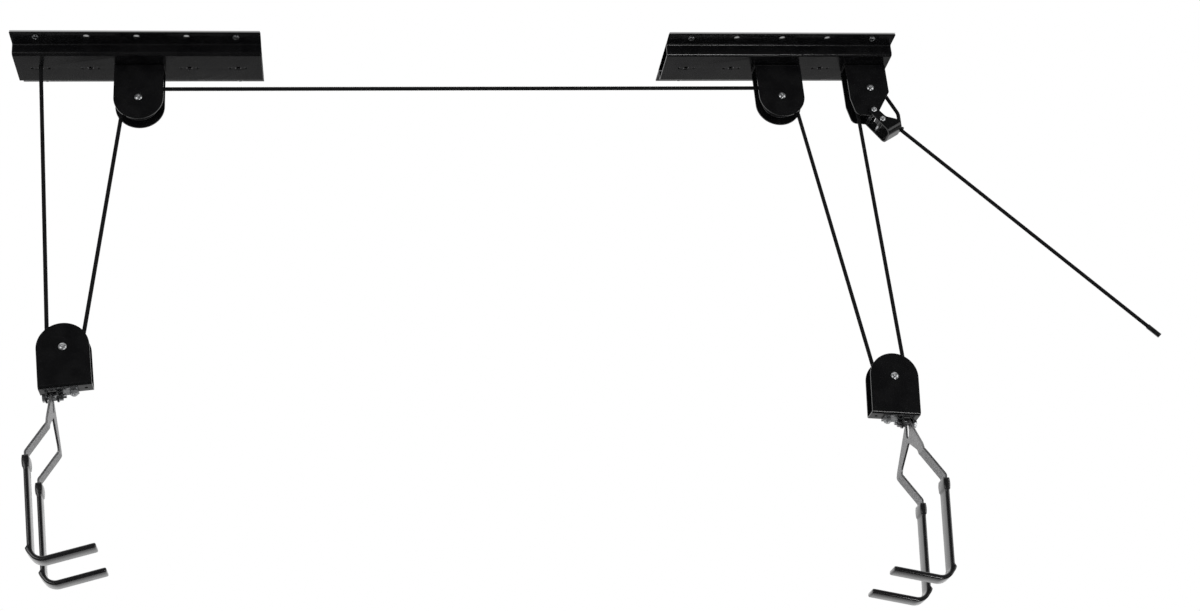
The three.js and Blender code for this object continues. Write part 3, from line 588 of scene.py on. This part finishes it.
def screw():
    """A pan-head screw, its axis on Z and its head down, threaded from under the ceiling to its point."""
    profile = [(screw_flat, screw_face)]
    for k in range(1, 7):
        angle = quarter * k / 6
        reach = screw_flat + (screw_head - screw_flat) * math.sin(angle)
        dome = (screw_face - screw_under + screw_rim) * math.cos(angle)
        profile.append((reach, screw_under - screw_rim + dome))
    profile += [(screw_head, screw_under - screw_edge), (screw_head - screw_edge, screw_under)]
    profile.append((screw_shank, screw_under))
    turns = int((screw_tip - screw_plain) / thread_pitch)
    for k in range(turns):
        height = thread_start + k * thread_pitch
        profile += [(screw_core, height), (screw_shank, height + thread_pitch / 2)]
    profile.append((screw_core, thread_start + turns * thread_pitch))
    profile += [(screw_edge, screw_tip - screw_edge), (0, screw_tip)]
    bm = lathe(profile, 32)
    rim = [v for v in bm.verts if v.co.z < screw_face + 1e-6]
    cross = [Matrix.Rotation(quarter * turn, 2) @ Vector(p) / 1000 for turn in range(4) for p in recess]
    loops = [
        [bm.verts.new((*(p * share), screw_face + depth)) for p in cross]
        for share, depth in recess_floors
    ]
    corners = [*rim, *loops[0]]
    for triangle in geometry.tessellate_polygon([[v.co for v in ring] for ring in (rim, loops[0])]):
        bm.faces.new([corners[i] for i in triangle])
    for upper, lower in zip(loops, loops[1:]):
        for i in range(len(cross)):
            bm.faces.new((upper[i - 1], upper[i], lower[i], lower[i - 1]))
    bm.faces.new(loops[-1])
    return bm


for side in ("left", "right"):
    for end in ("outer", "inner"):
        for row in ("front", "rear"):
            name = f"{side}_screw_{end}_{row}"
            low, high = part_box(name)
            placed = Matrix.Translation(((low.x + high.x) / 2, (low.y + high.y) / 2, 0))
            flatten(piece(mesh_of(screw(), name, placed), f"wood_{name}", shaded_zinc, "root", name))

# ---------------------------------------------------------------- pulley housings
# U-shaped straps of the same sheet, their cheeks rounded round the sheave. Two hang under the crowns with
# the web up, and two carry the hooks with the web down. Powder coated black.
cheek = 0.0105  # middle plane to the sheet's middle in each cheek
strap_fold = 0.0025
axle_to_web = 0.0455
axle_hole = 0.0033
web_hole = 0.00325
block_half = 0.028
hook_web_holes = [(0.0082, 0, 0.0028), (-0.021, 0, 0.0018), (0.021, 0, 0.0018)]  # x, y, radius
edge_radius = 0.0002


def strap(outline, cheek_holes, web_holes):
    """A U-shaped strap. The outline is one cheek's free edge as (x, height above the web's middle), from +X
    to -X, and a hole is (x, height, radius)."""
    start = cheek - strap_fold
    shift = start + quarter * strap_fold - strap_fold
    far = [Vector((x, height + shift)) for x, height in outline]
    near = [Vector((p.x, -p.y)) for p in reversed(far)]
    holes = [circle(x, y, radius) for x, y, radius in web_holes]
    for x, height, radius in cheek_holes:
        holes += [circle(x, height + shift, radius), circle(x, -height - shift, radius)]
    bm = blank([*far, *near], holes, sheet, edge_radius)
    return fold(bm, [((0, start), (0, 1), strap_fold, 90), ((0, -start), (0, -1), strap_fold, 90)])


block_axle = axle_to_web - sheet / 2
block_dome = [math.pi * k / 40 for k in range(41)]
block_outline = [
    (block_half, block_axle / 2),
    *((block_half * math.cos(a), block_axle + block_half * math.sin(a)) for a in block_dome),
    (-block_half, block_axle / 2),
]
over = Matrix.Rotation(math.pi, 4, "X")
for side in ("left", "right"):
    x, _, z = joints[f"{side}_top_sheave_turn"]["pos_m"]
    bm = strap(block_outline, [(0, block_axle, axle_hole)], [(0, 0, web_hole)])
    placed = Matrix.Translation((x, 0, z + block_axle)) @ over
    name = f"{side}_top_strap"
    flatten(piece(mesh_of(bm, name, placed), name, black_coat, "root", f"{side}_top_housing"))

block_place = {}
for side, facing in (("left", 0), ("right", math.pi)):
    x, _, z = joints[f"{side}_block_tilt"]["pos_m"]
    axis = joints[f"{side}_hook_swing"]["axis"]
    tilt = math.atan2(-axis[2], axis[0])
    turn = Matrix.Rotation(tilt, 4, "Y") @ Matrix.Rotation(facing, 4, "Z")
    block_place[side] = Matrix.Translation((x, 0, z)) @ turn
    bm = strap(block_outline, [(0, block_axle, axle_hole)], hook_web_holes)
    placed = block_place[side] @ Matrix.Translation((0, 0, -block_axle))
    name = f"{side}_hook_strap"
    flatten(piece(mesh_of(bm, name, placed), name, black_coat, f"{side}_block", f"{side}_hook_housing"))

# ---------------------------------------------------------------- sheaves
# Turned nylon wheels, black, with a round groove for the rope and a hub that reaches from cheek to cheek.
nylon = finish_of(
    "black nylon", "black_nylon",
    (250, (0.010, 0.010, 0.011), (0.016, 0.016, 0.017)), (160, 0.24, 0.38), (1800, 0.00004, 0.25),
)
lip_radius = 0.022
rim_half = 0.005
hub_radius, hub_half = 0.0075, 0.0092
dish = 0.0012  # depth of the hollow in each face, between hub and rim
dish_inner, dish_outer, dish_rim = 0.0105, 0.0150, 0.0162
groove = rope_radius + 0.0003
bore = 0.0033


def mirrored(profile):
    """The profile of a turned piece from that of its upper half."""
    return profile + [(radius, -height) for radius, height in reversed(profile)]


def sheave_profile():
    corners = [
        (bore, hub_half), (hub_radius, hub_half), (hub_radius, rim_half - 0.0008),
        (dish_inner, rim_half - dish), (dish_outer, rim_half - dish), (dish_rim, rim_half),
        (lip_radius, rim_half), (lip_radius, groove + 0.0012), (pitch_radius, groove),
    ]
    roundings = [0.0004, 0.0006, 0.0006, 0.0006, 0.0006, 0.0007, 0.0007]
    half = rounded(corners, roundings, 0.35)
    floor_arc = [
        (pitch_radius - groove * math.sin(a), groove * math.cos(a))
        for a in (0.26, 0.52, 0.79, 1.05, 1.31)
    ]
    return mirrored([(p[0], p[1]) for p in half] + floor_arc)


sheaves = ("left_top", "right_top", "lock", "left_hook", "right_hook")
for name in sheaves:
    placed = Matrix.Translation(joints[f"{name}_sheave_turn"]["pos_m"])
    mesh = mesh_of(lathe(sheave_profile(), 96, "y"), name, placed)
    flatten(piece(mesh, f"{name}_nylon_wheel", nylon, f"{name}_sheave_body", f"{name}_sheave"))

# ---------------------------------------------------------------- axles and rivets
# Zinc-plated rivets: long ones are the sheaves' axles, headed over on both cheeks, and short ones hold the
# upper housings to the crowns.
axle_radius, axle_head = 0.003, 0.0045
cheek_face = 0.0118  # middle plane to each cheek's outer face
crown_rivet = 0.0029
zinc = finish_of(
    "zinc plate", "zinc",
    (400, (0.60, 0.61, 0.62), (0.76, 0.77, 0.78)), (300, 0.26, 0.42), (2500, 0.00002, 0.25),
    Metallic=1.0,
)


def rivet_profile(radius, half, head, height):
    """A rivet headed over at both ends, from the middle of one head outward, and mirrored. The head is a dome
    with a dimple, given in shares of its radius and height."""
    dimple = [(0, 0.62), (0.10, 0.64), (0.17, 0.72), (0.23, 0.88), (0.28, 0.98), (0.34, 1.0)]
    top, rim = dimple[-1][0], 0.16
    dome = [
        (share, rim + (1 - rim) * (1 - ((share - top) / (1 - top)) ** 2))
        for share in (0.45, 0.56, 0.67, 0.78, 0.88, 0.95, 1)
    ]
    face = [(head * share, half + height * level) for share, level in (*dimple, *dome)]
    return mirrored([*face, (head - edge_radius, half), (radius, half)])


for name in sheaves:
    low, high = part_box(f"{name}_axle")
    body = f"{name.split('_')[0]}_lift" if "hook" in name else "root"
    placed = Matrix.Translation(joints[f"{name}_sheave_turn"]["pos_m"])
    profile = rivet_profile(axle_radius, cheek_face, axle_head, high.y - cheek_face)
    mesh = mesh_of(lathe(profile, 40, "y"), name, placed)
    flatten(piece(mesh, f"{name}_axle_rivet", zinc, body, f"{name}_axle"))

for name in ("left_top", "right_top", "lock"):
    low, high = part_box(f"{name}_rivet")
    half = (high.z - low.z) / 2
    placed = Matrix.Translation((low + high) / 2)
    profile = rivet_profile(crown_rivet, half - sheet, (high.x - low.x) / 2, sheet)
    mesh = mesh_of(lathe(profile, 40), name, placed)
    flatten(piece(mesh, f"{name}_crown_rivet", zinc, "root", f"{name}_rivet"))

# ---------------------------------------------------------------- rope lock
# The lock's housing is a strap of the same sheet, riveted under the right bracket's outer end. Its cheeks
# narrow downward to a rounded lobe and to a boss at the arm's pivot. The lock arm swings on it.
lock_shift = 0.002  # the housing's middle to the sheave's
lock_middle = joints["lock_sheave_turn"]["pos_m"][0] - lock_shift
lock_web = joints["left_top_sheave_turn"]["pos_m"][2] + axle_to_web
lock_half = 0.025
lock_shoulders = ((-1, -0.066), (1, -0.057))  # side, and the height where the cheek begins to narrow
cheek_from = 0.02  # drop below the web at which the cheek's outline begins
pin_hole = 0.0028
lobe = (lock_middle - 0.0135, -0.0806, 0.008)
boss = (lock_pivot.x, lock_pivot.y, 0.0065)
cross_pin = (lock_pivot.x + 0.0089, lock_pivot.y - 0.0130)


def hull(circles):
    """The outline stretched round circles (x, y, radius), anticlockwise."""
    points = sorted(
        {(round(p.x, 7), round(p.y, 7)) for x, y, r in circles for p in circle(x, y, r, 72 if r else 1)},
    )
    chains = []
    for run in (points, points[::-1]):
        chain = []
        for p in run:
            while len(chain) > 1:
                a, b = chain[-2], chain[-1]
                if (b[0] - a[0]) * (p[1] - b[1]) - (b[1] - a[1]) * (p[0] - b[0]) > 1e-12:
                    break
                chain.pop()
            chain.append(p)
        chains += chain[:-1]
    return chains


web_line = lock_web - sheet / 2
lock_corners = [
    (lock_middle + way * lock_half, height, 0)
    for way, low in lock_shoulders for height in (web_line, low)
]
lock_outline = hull([*lock_corners, lobe, boss])
start = next(i for i, p in enumerate(lock_outline) if p[1] > web_line - 1e-6 > lock_outline[i - 1][1])
lock_cheek = [(x - lock_middle, web_line - z) for x, z in lock_outline[start:] + lock_outline[:start]]
lock_cheek = [p for p in lock_cheek if p[1] > 0.001]  # without the corners at the web
lock_cheek = [(-lock_half, cheek_from), *lock_cheek, (lock_half, cheek_from)][::-1]
lock_pins = [
    (lock_shift, web_line - joints["lock_sheave_turn"]["pos_m"][2], axle_hole),
    (boss[0] - lock_middle, web_line - boss[1], pin_hole),
]
bm = strap(lock_cheek, lock_pins, [(lock_shift, 0, web_hole)])
placed = Matrix.Translation((lock_middle, 0, web_line)) @ over
mesh = mesh_of(bm, "lock_strap", placed)
flatten(piece(mesh, "lock_strap", black_coat, "root", "lock_housing", "lock_guide_pin"))

# A nylon sleeve sits on the near half of each pin, and a nylon jaw that presses on the rope fills the
# near half of the arm's neck.
pin_sleeve_bore, pin_sleeve_radius, nylon_edge = 0.0027, 0.0034, 0.0004
for name, x, z, reach, body in [
    ("lock_pivot_sleeve", *lock_pivot, 0.0092, "root"),
    ("lock_pinch_sleeve", *cross_pin, 0.0118, "lock_arm_body"),
]:
    face = pin_sleeve_radius - nylon_edge
    profile = [(pin_sleeve_bore, -reach), (face, -reach), (pin_sleeve_radius, nylon_edge - reach)]
    profile += [(pin_sleeve_radius, -nylon_edge), (face, 0), (pin_sleeve_bore, 0)]
    mesh = mesh_of(lathe(profile, 40, "y"), name, Matrix.Translation((x, 0, z)))
    flatten(piece(mesh, name, nylon, body))

jaw_near, jaw_thick, jaw_rounding = -0.0088, 0.011, 0.0008
jaw_corners = [  # from the pivot
    (0.0062, -0.0034), (0.0036, -0.0074), (0.0100, -0.0170),
    (0.0190, -0.0200), (0.0215, -0.0128), (0.0134, -0.0104),
]
jaw_line = [lock_pivot + Vector(corner) for corner in (*jaw_corners, *jaw_corners[:2])]
jaw_outline = rounded(jaw_line, [jaw_rounding] * len(jaw_corners), 0.4)[1:-1]
placed = Matrix.Translation((0, jaw_near + jaw_thick / 2, 0)) @ Matrix.Rotation(quarter, 4, "X")
jaw = mesh_of(blank(jaw_outline, [], jaw_thick, nylon_edge), "jaw", placed)
flatten(piece(jaw, "lock_jaw", nylon, "lock_arm_body"))

pin_radius, pin_head = 0.0025, 0.0016
for replaced, name, body in [
    ("lock_arm_pivot", "lock_pivot_rivet", "root"),
    ("lock_arm_cross_pin", "lock_cross_rivet", "lock_arm_body"),
]:
    low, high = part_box(replaced)
    half, head = (high.y - low.y) / 2, (high.x - low.x) / 2
    profile = rivet_profile(pin_radius, half - pin_head, head, pin_head)
    mesh = mesh_of(lathe(profile, 40, "y"), name, Matrix.Translation((low + high) / 2))
    flatten(piece(mesh, name, zinc, body, replaced))

# The arm: one strap bent to a U, which swings on the pivot rivet outside both cheeks. A wire eye welded to
# its outer end leads the rope. Its corners are given from the pivot.
arm_low = lock_pivot + Vector((0.0158, -0.0326))
arm_end = lock_pivot + Vector((0.0330, -0.0226))
arm_fold = 0.007
arm_plate = 0.0131  # middle plane to the sheet's middle in each plate
arm_boss = 0.006
arm_shoulder, arm_neck = (0.0263, -0.0128), (0.0137, -0.0094)
web_way = (arm_end - arm_low).normalized()
web_up = Vector((-web_way.y, web_way.x))
arm_start = arm_plate - arm_fold
arm_shift = arm_start + quarter * arm_fold - arm_fold


def in_arm(point):
    """A point given from the pivot, as (along the web from its low corner, above the web's middle)."""
    offset = lock_pivot + Vector(point) - arm_low
    return Vector((offset.dot(web_way), offset.dot(web_up) - sheet / 2))


low_corner = arm_low - lock_pivot
back_edge = math.atan2(low_corner.y, low_corner.x) - math.acos(arm_boss / low_corner.length) + 2 * math.pi
boss_arc = [
    in_arm((arm_boss * math.cos(a), arm_boss * math.sin(a)))
    for a in (back_edge * k / 40 for k in range(41))
]
foot = arm_fold + 0.0002
front_foot = (in_arm(arm_end - lock_pivot).x, foot)
front = rounded([front_foot, in_arm(arm_shoulder), in_arm(arm_neck), boss_arc[0]], [0.003, 0.008], 0.2)
upper = [*front, *boss_arc[1:], Vector((0, foot))]
far = [Vector((p.x, p.y + arm_shift)) for p in upper]
near = [Vector((p.x, -p.y)) for p in reversed(far)]
arm_holes = []
for point in (Vector((0, 0)), Vector(cross_pin) - lock_pivot):
    place = in_arm(point)
    arm_holes += [circle(place.x, sign * (place.y + arm_shift), pin_hole) for sign in (-1, 1)]
bm = blank([*far, *near], arm_holes, sheet, edge_radius)
fold(bm, [((0, arm_start), (0, 1), arm_fold, 90), ((0, -arm_start), (0, -1), arm_fold, 90)], cuts=16)
arm_base = arm_low + web_up * sheet / 2
arm_axes = Matrix(((web_way.x, 0, web_way.y), (0, 1, 0), (web_up.x, 0, web_up.y))).transposed().to_4x4()
placed = Matrix.Translation((arm_base.x, 0, arm_base.y)) @ arm_axes
arm_mesh = mesh_of(bm, "arm", placed)


def wire_between(a, b, radius):
    """A straight round wire from one point in the plane y = 0 to another."""
    bm = bmesh.new()
    way = (b - a).normalized()
    normal = Vector((-way.y, 0, way.x))
    spokes = circle(0, 0, radius, 20)
    first, last = [
        [bm.verts.new(Vector((p.x, spoke.y, p.y)) + normal * spoke.x) for spoke in spokes]
        for p in (a, b)
    ]
    for k in range(len(spokes)):
        bm.faces.new((first[k - 1], first[k], last[k], last[k - 1]))
    bm.faces.new(first)
    bm.faces.new(last[::-1])
    return bm


eye_radius, eye_wire, eye_lean = 0.0038, 0.0012, math.radians(21)
stem_root = 0.008  # from the arm's end, along its web
eye_profile = [(p.x, p.y) for p in circle(eye_radius, 0, eye_wire, 16)]
placed = Matrix.Translation((lock_eye.x, 0, lock_eye.y)) @ Matrix.Rotation(-eye_lean, 4, "Y")
ring_mesh = mesh_of(lathe(eye_profile, 48), "ring", placed)
stem_start = arm_end - web_way * stem_root + web_up * sheet / 2
stem_end = lock_eye - Vector((math.cos(eye_lean), math.sin(eye_lean))) * eye_radius
stem_mesh = mesh_of(wire_between(stem_start, stem_end, eye_wire), "stem")
bm = bmesh.new()
for part in (arm_mesh, ring_mesh, stem_mesh):
    bm.from_mesh(part)
flatten(piece(mesh_of(bm, "lock_lever"), "lock_lever", black_coat, "lock_arm_body", "lock_arm"))

# ---------------------------------------------------------------- double hooks
# Each is one strip of 2.4 mm speckled grey steel: a plate like an inverted V, slotted for its bolt, whose
# two legs step sideways, run down and bend round to a rising arm.
hook_sheet, hook_edge = 0.0024, 0.0005
strip_half = 0.009
leg_spread = 0.044
apex = 0.0062
slot_half, slot_rise, slot_drop = 0.005, 0.0028, 0.018
crotch_drop = 0.0233
knee_rise = 0.0028  # of the blank's outer corner over the first fold
fold_drop, fold_radius = 0.0483, 0.004
leg_offset, leg_offset_drop = 0.0227, 0.029
shank_length = 0.103
hook_radius = 0.013
hook_reach = 0.063
hook_rise = math.radians(8.5)
eye_local = Vector((-0.0152, 0, -axle_to_web - 0.0071))  # the hook's bolt, from the block's axle

hook_steel = finish_of(
    "speckled steel", "hook_steel",
    (1300, (0.14, 0.14, 0.142), (0.42, 0.42, 0.425)), (900, 0.3, 0.5), (1500, 0.0001, 0.35),
    Metallic=0.95,
)

leg_slant = math.atan2(leg_offset, leg_offset_drop)
slant_length = math.hypot(leg_offset, leg_offset_drop)
fold_tangent = fold_radius * math.tan(leg_slant / 2)
bend_turn = quarter + hook_rise
bend_tangent = hook_radius * math.tan(bend_turn / 2)
first_bend = fold_drop - fold_tangent
slant_end = first_bend + fold_radius * leg_slant + slant_length - 2 * fold_tangent
shank_start = slant_end + fold_radius * leg_slant
hook_bend = shank_start + shank_length - fold_tangent
rise_start = hook_bend + hook_radius * bend_turn
leg_end = rise_start + hook_reach / math.cos(hook_rise) - bend_tangent
leg_bends = [
    ((0, -first_bend), (0, -1), fold_radius, -math.degrees(leg_slant)),
    ((0, -slant_end), (0, -1), fold_radius, math.degrees(leg_slant)),
    ((0, -hook_bend), (0, -1), hook_radius, math.degrees(bend_turn)),
]


def hook_blank():
    """The flat strip, drawn as (across, along), with the bolt's place at the origin and the legs downward."""
    outer, inner = leg_spread + strip_half, leg_spread - strip_half
    knee = -fold_drop + knee_rise
    angle = math.atan2(knee, outer) + math.acos(apex / math.hypot(outer, knee))
    arc = [
        Vector((apex * math.cos(a), apex * math.sin(a)))
        for a in (angle + (math.pi - 2 * angle) * k / 16 for k in range(17))
    ]
    corners = [
        (-outer, knee), (-outer, -leg_end), (-inner, -leg_end), (-inner, knee), (0, -crotch_drop),
        (inner, knee), (inner, -leg_end), (outer, -leg_end), (outer, knee),
    ]
    radii = [0.02, 0.003, 0.003, 0.012, 0.003, 0.012, 0.003, 0.003, 0.02]
    sides = rounded([arc[-1], *corners, arc[0]], radii, 0.2)
    slot = [
        Vector((slot_half * math.cos(a), middle + slot_half * math.sin(a)))
        for middle, first in ((slot_rise - slot_half, 0), (slot_half - slot_drop, math.pi))
        for a in (first + math.pi * k / 16 for k in range(17))
    ]
    return blank([*arc, *sides[1:-1]], [slot], hook_sheet, hook_edge)


# The blank's across axis is the block's Y, its along axis the block's Z and its upper face looks along X.
stand = Matrix(((0, 0, 1, 0), (1, 0, 0, 0), (0, 1, 0, 0), (0, 0, 0, 1)))
for side in ("left", "right"):
    bm = fold(hook_blank(), leg_bends, cuts=14)
    placed = block_place[side] @ Matrix.Translation(eye_local) @ stand
    name = f"{side}_strip_hook"
    flatten(piece(mesh_of(bm, name, placed), name, hook_steel, f"{side}_hook", f"{side}_double_hook"))

# ---------------------------------------------------------------- vinyl sleeves
# Dipped black vinyl over the shank and arm of each hook, with a thick collar at its mouth and a small
# moulded step at the back, where the bend starts.
vinyl = finish_of(
    "black vinyl", "vinyl",
    (120, (0.008, 0.008, 0.0085), (0.013, 0.013, 0.014)), (90, 0.16, 0.28), (700, 0.00006, 0.3),
    Coat_Weight=0.7, Coat_Roughness=0.12,
)
sleeve_wall = 0.001
sleeve_gap = 0.0003
collar_height, collar_thickness = 0.013, 0.008
step_proud, step_rise, step_fall = 0.002, 0.003, 0.006


def section(thickness, width, radius):
    """A rounded rectangle's outline as (through, across)."""
    ring = []
    for corner, (sx, sy) in enumerate(((1, 1), (-1, 1), (-1, -1), (1, -1))):
        for k in range(5):
            angle = quarter * (corner + k / 4)
            x = sx * (thickness / 2 - radius) + radius * math.cos(angle)
            y = sy * (width / 2 - radius) + radius * math.sin(angle)
            ring.append((x, y))
    return ring


shank_x = -leg_offset
shank_top = -fold_drop - leg_offset_drop
bend_corner_z = shank_top - shank_length - bend_tangent
arm_length = hook_reach / math.cos(hook_rise)
mouth = shank_top - fold_radius
arm_tip = (shank_x + arm_length * math.cos(hook_rise), bend_corner_z + arm_length * math.sin(hook_rise))
sleeve_line = rounded([(shank_x, mouth), (shank_x, bend_corner_z), arm_tip], [hook_radius], 0.09)


def line_place(line, distance):
    """The point and direction at a distance along a line, which runs on straight past its end."""
    for a, b in zip(line, line[1:]):
        length = (b - a).length
        if distance <= length or b is line[-1]:
            way = (b - a).normalized()
            return a + way * distance, way
        distance -= length
    return line[-1], way


def step_at(distance):
    """How far the moulded step stands out at the sleeve's back: a short rise, then a longer fall."""
    past = distance - (shank_length - fold_radius)
    return step_proud * max(0, min(1 + past / step_rise, 1 - past / step_fall))


def sleeve_mesh(across_middle):
    """A sleeve, from its inner end back to the mouth, over the collar and down outside to the tip. Each row
    is (distance from the mouth, thickness, width, corner radius)."""
    total = sum((b - a).length for a, b in zip(sleeve_line, sleeve_line[1:]))
    thick_in, wide_in = hook_sheet + 2 * sleeve_gap, 2 * strip_half + 2 * sleeve_gap
    thick, wide = thick_in + 2 * sleeve_wall, wide_in + 2 * sleeve_wall
    bend_from = shank_length - fold_radius
    bend_rows = [bend_from + hook_radius * bend_turn * k / 20 for k in range(21)]
    inner, outer = 0.0007, 0.0018
    rows = [(total + sleeve_gap, thick_in * 0.9, wide_in * 0.98, inner)]
    rows += [(s, thick_in, wide_in, inner) for s in reversed([0, 0.001, 0.02, *bend_rows])]
    rows.append((0, thick_in + 0.0014, wide_in + 0.001, 0.0012))
    for k in range(9):
        share = k / 8
        swell = math.sin(math.pi * (0.18 + 0.64 * share)) ** 0.7
        extra = (collar_thickness - thick) * swell
        height = 0.0003 + (collar_height - 0.0006) * share
        rows.append((height, thick + extra, wide + sleeve_wall * swell, 0.0022))
    rows.append((collar_height + 0.0005, thick + 0.0002, wide, 0.0019))
    rows.append((collar_height + 0.003, thick, wide, outer))
    climb = [bend_from - step_rise * share for share in (1.15, 1, 0.8, 0.5, 0.2, 0.06)]
    rows += [(s, thick, wide, outer) for s in (0.05, *climb, *bend_rows)]
    tip = total + sleeve_gap + sleeve_wall
    rows += [(tip - 0.0025, thick, wide, outer), (tip - 0.0009, thick * 0.95, wide * 0.985, outer)]
    rows += [(tip - 0.0002, thick * 0.75, wide * 0.94, 0.0017), (tip, thick * 0.5, wide * 0.88, 0.0012)]
    bm = bmesh.new()
    rings = []
    for distance, through, across, radius in rows:
        place, way = line_place(sleeve_line, distance)
        normal = Vector((-way.y, way.x))
        proud = step_at(distance) if through >= thick else 0
        ring = []
        for a, b in section(through, across, min(radius, through / 2 - 1e-5)):
            spot = place + normal * (a - (proud if a < 0 else 0))
            ring.append(bm.verts.new((spot.x, across_middle + b, spot.y)))
        rings.append(ring)
    for a, b in zip(rings, rings[1:]):
        for k in range(len(a)):
            bm.faces.new((a[k - 1], b[k - 1], b[k], a[k]))
    bm.faces.new(rings[0])
    bm.faces.new(rings[-1][::-1])
    return bm


for side in ("left", "right"):
    front = -leg_spread if side == "left" else leg_spread
    for row, across_middle in (("front", front), ("rear", -front)):
        placed = block_place[side] @ Matrix.Translation(eye_local)
        name = f"{side}_vinyl_{row}"
        mesh = mesh_of(sleeve_mesh(across_middle), name, placed)
        piece(mesh, name, vinyl, f"{side}_hook", f"{side}_sleeve_{row}")

# ---------------------------------------------------------------- hangers, bolts and the rope's end
# Small zinc-plated pieces under each hook block: hanger, two bolts, nut and bush. The rope's start is a knot
# and its end has a vinyl sleeve. They keep their CAD form, with softened edges.
for name, cad in frame["nodes"].items():
    if cad.hide_render:
        continue
    # The hangers and nuts take the darker zinc that paints their shade.
    finish = shaded_zinc if name.endswith(("hanger", "nut")) else zinc
    finish = {"rope_start_knot": braid, "rope_end_sleeve": vinyl}.get(name, finish)
    cad.data.materials.clear()
    cad.data.materials.append(finish)
    cad.data.shade_flat()
    softened = cad.modifiers.new("edges", "BEVEL")
    softened.width = 0.0003
    softened.segments = 2
    softened.limit_method = "ANGLE"
    softened.angle_limit = math.radians(50)
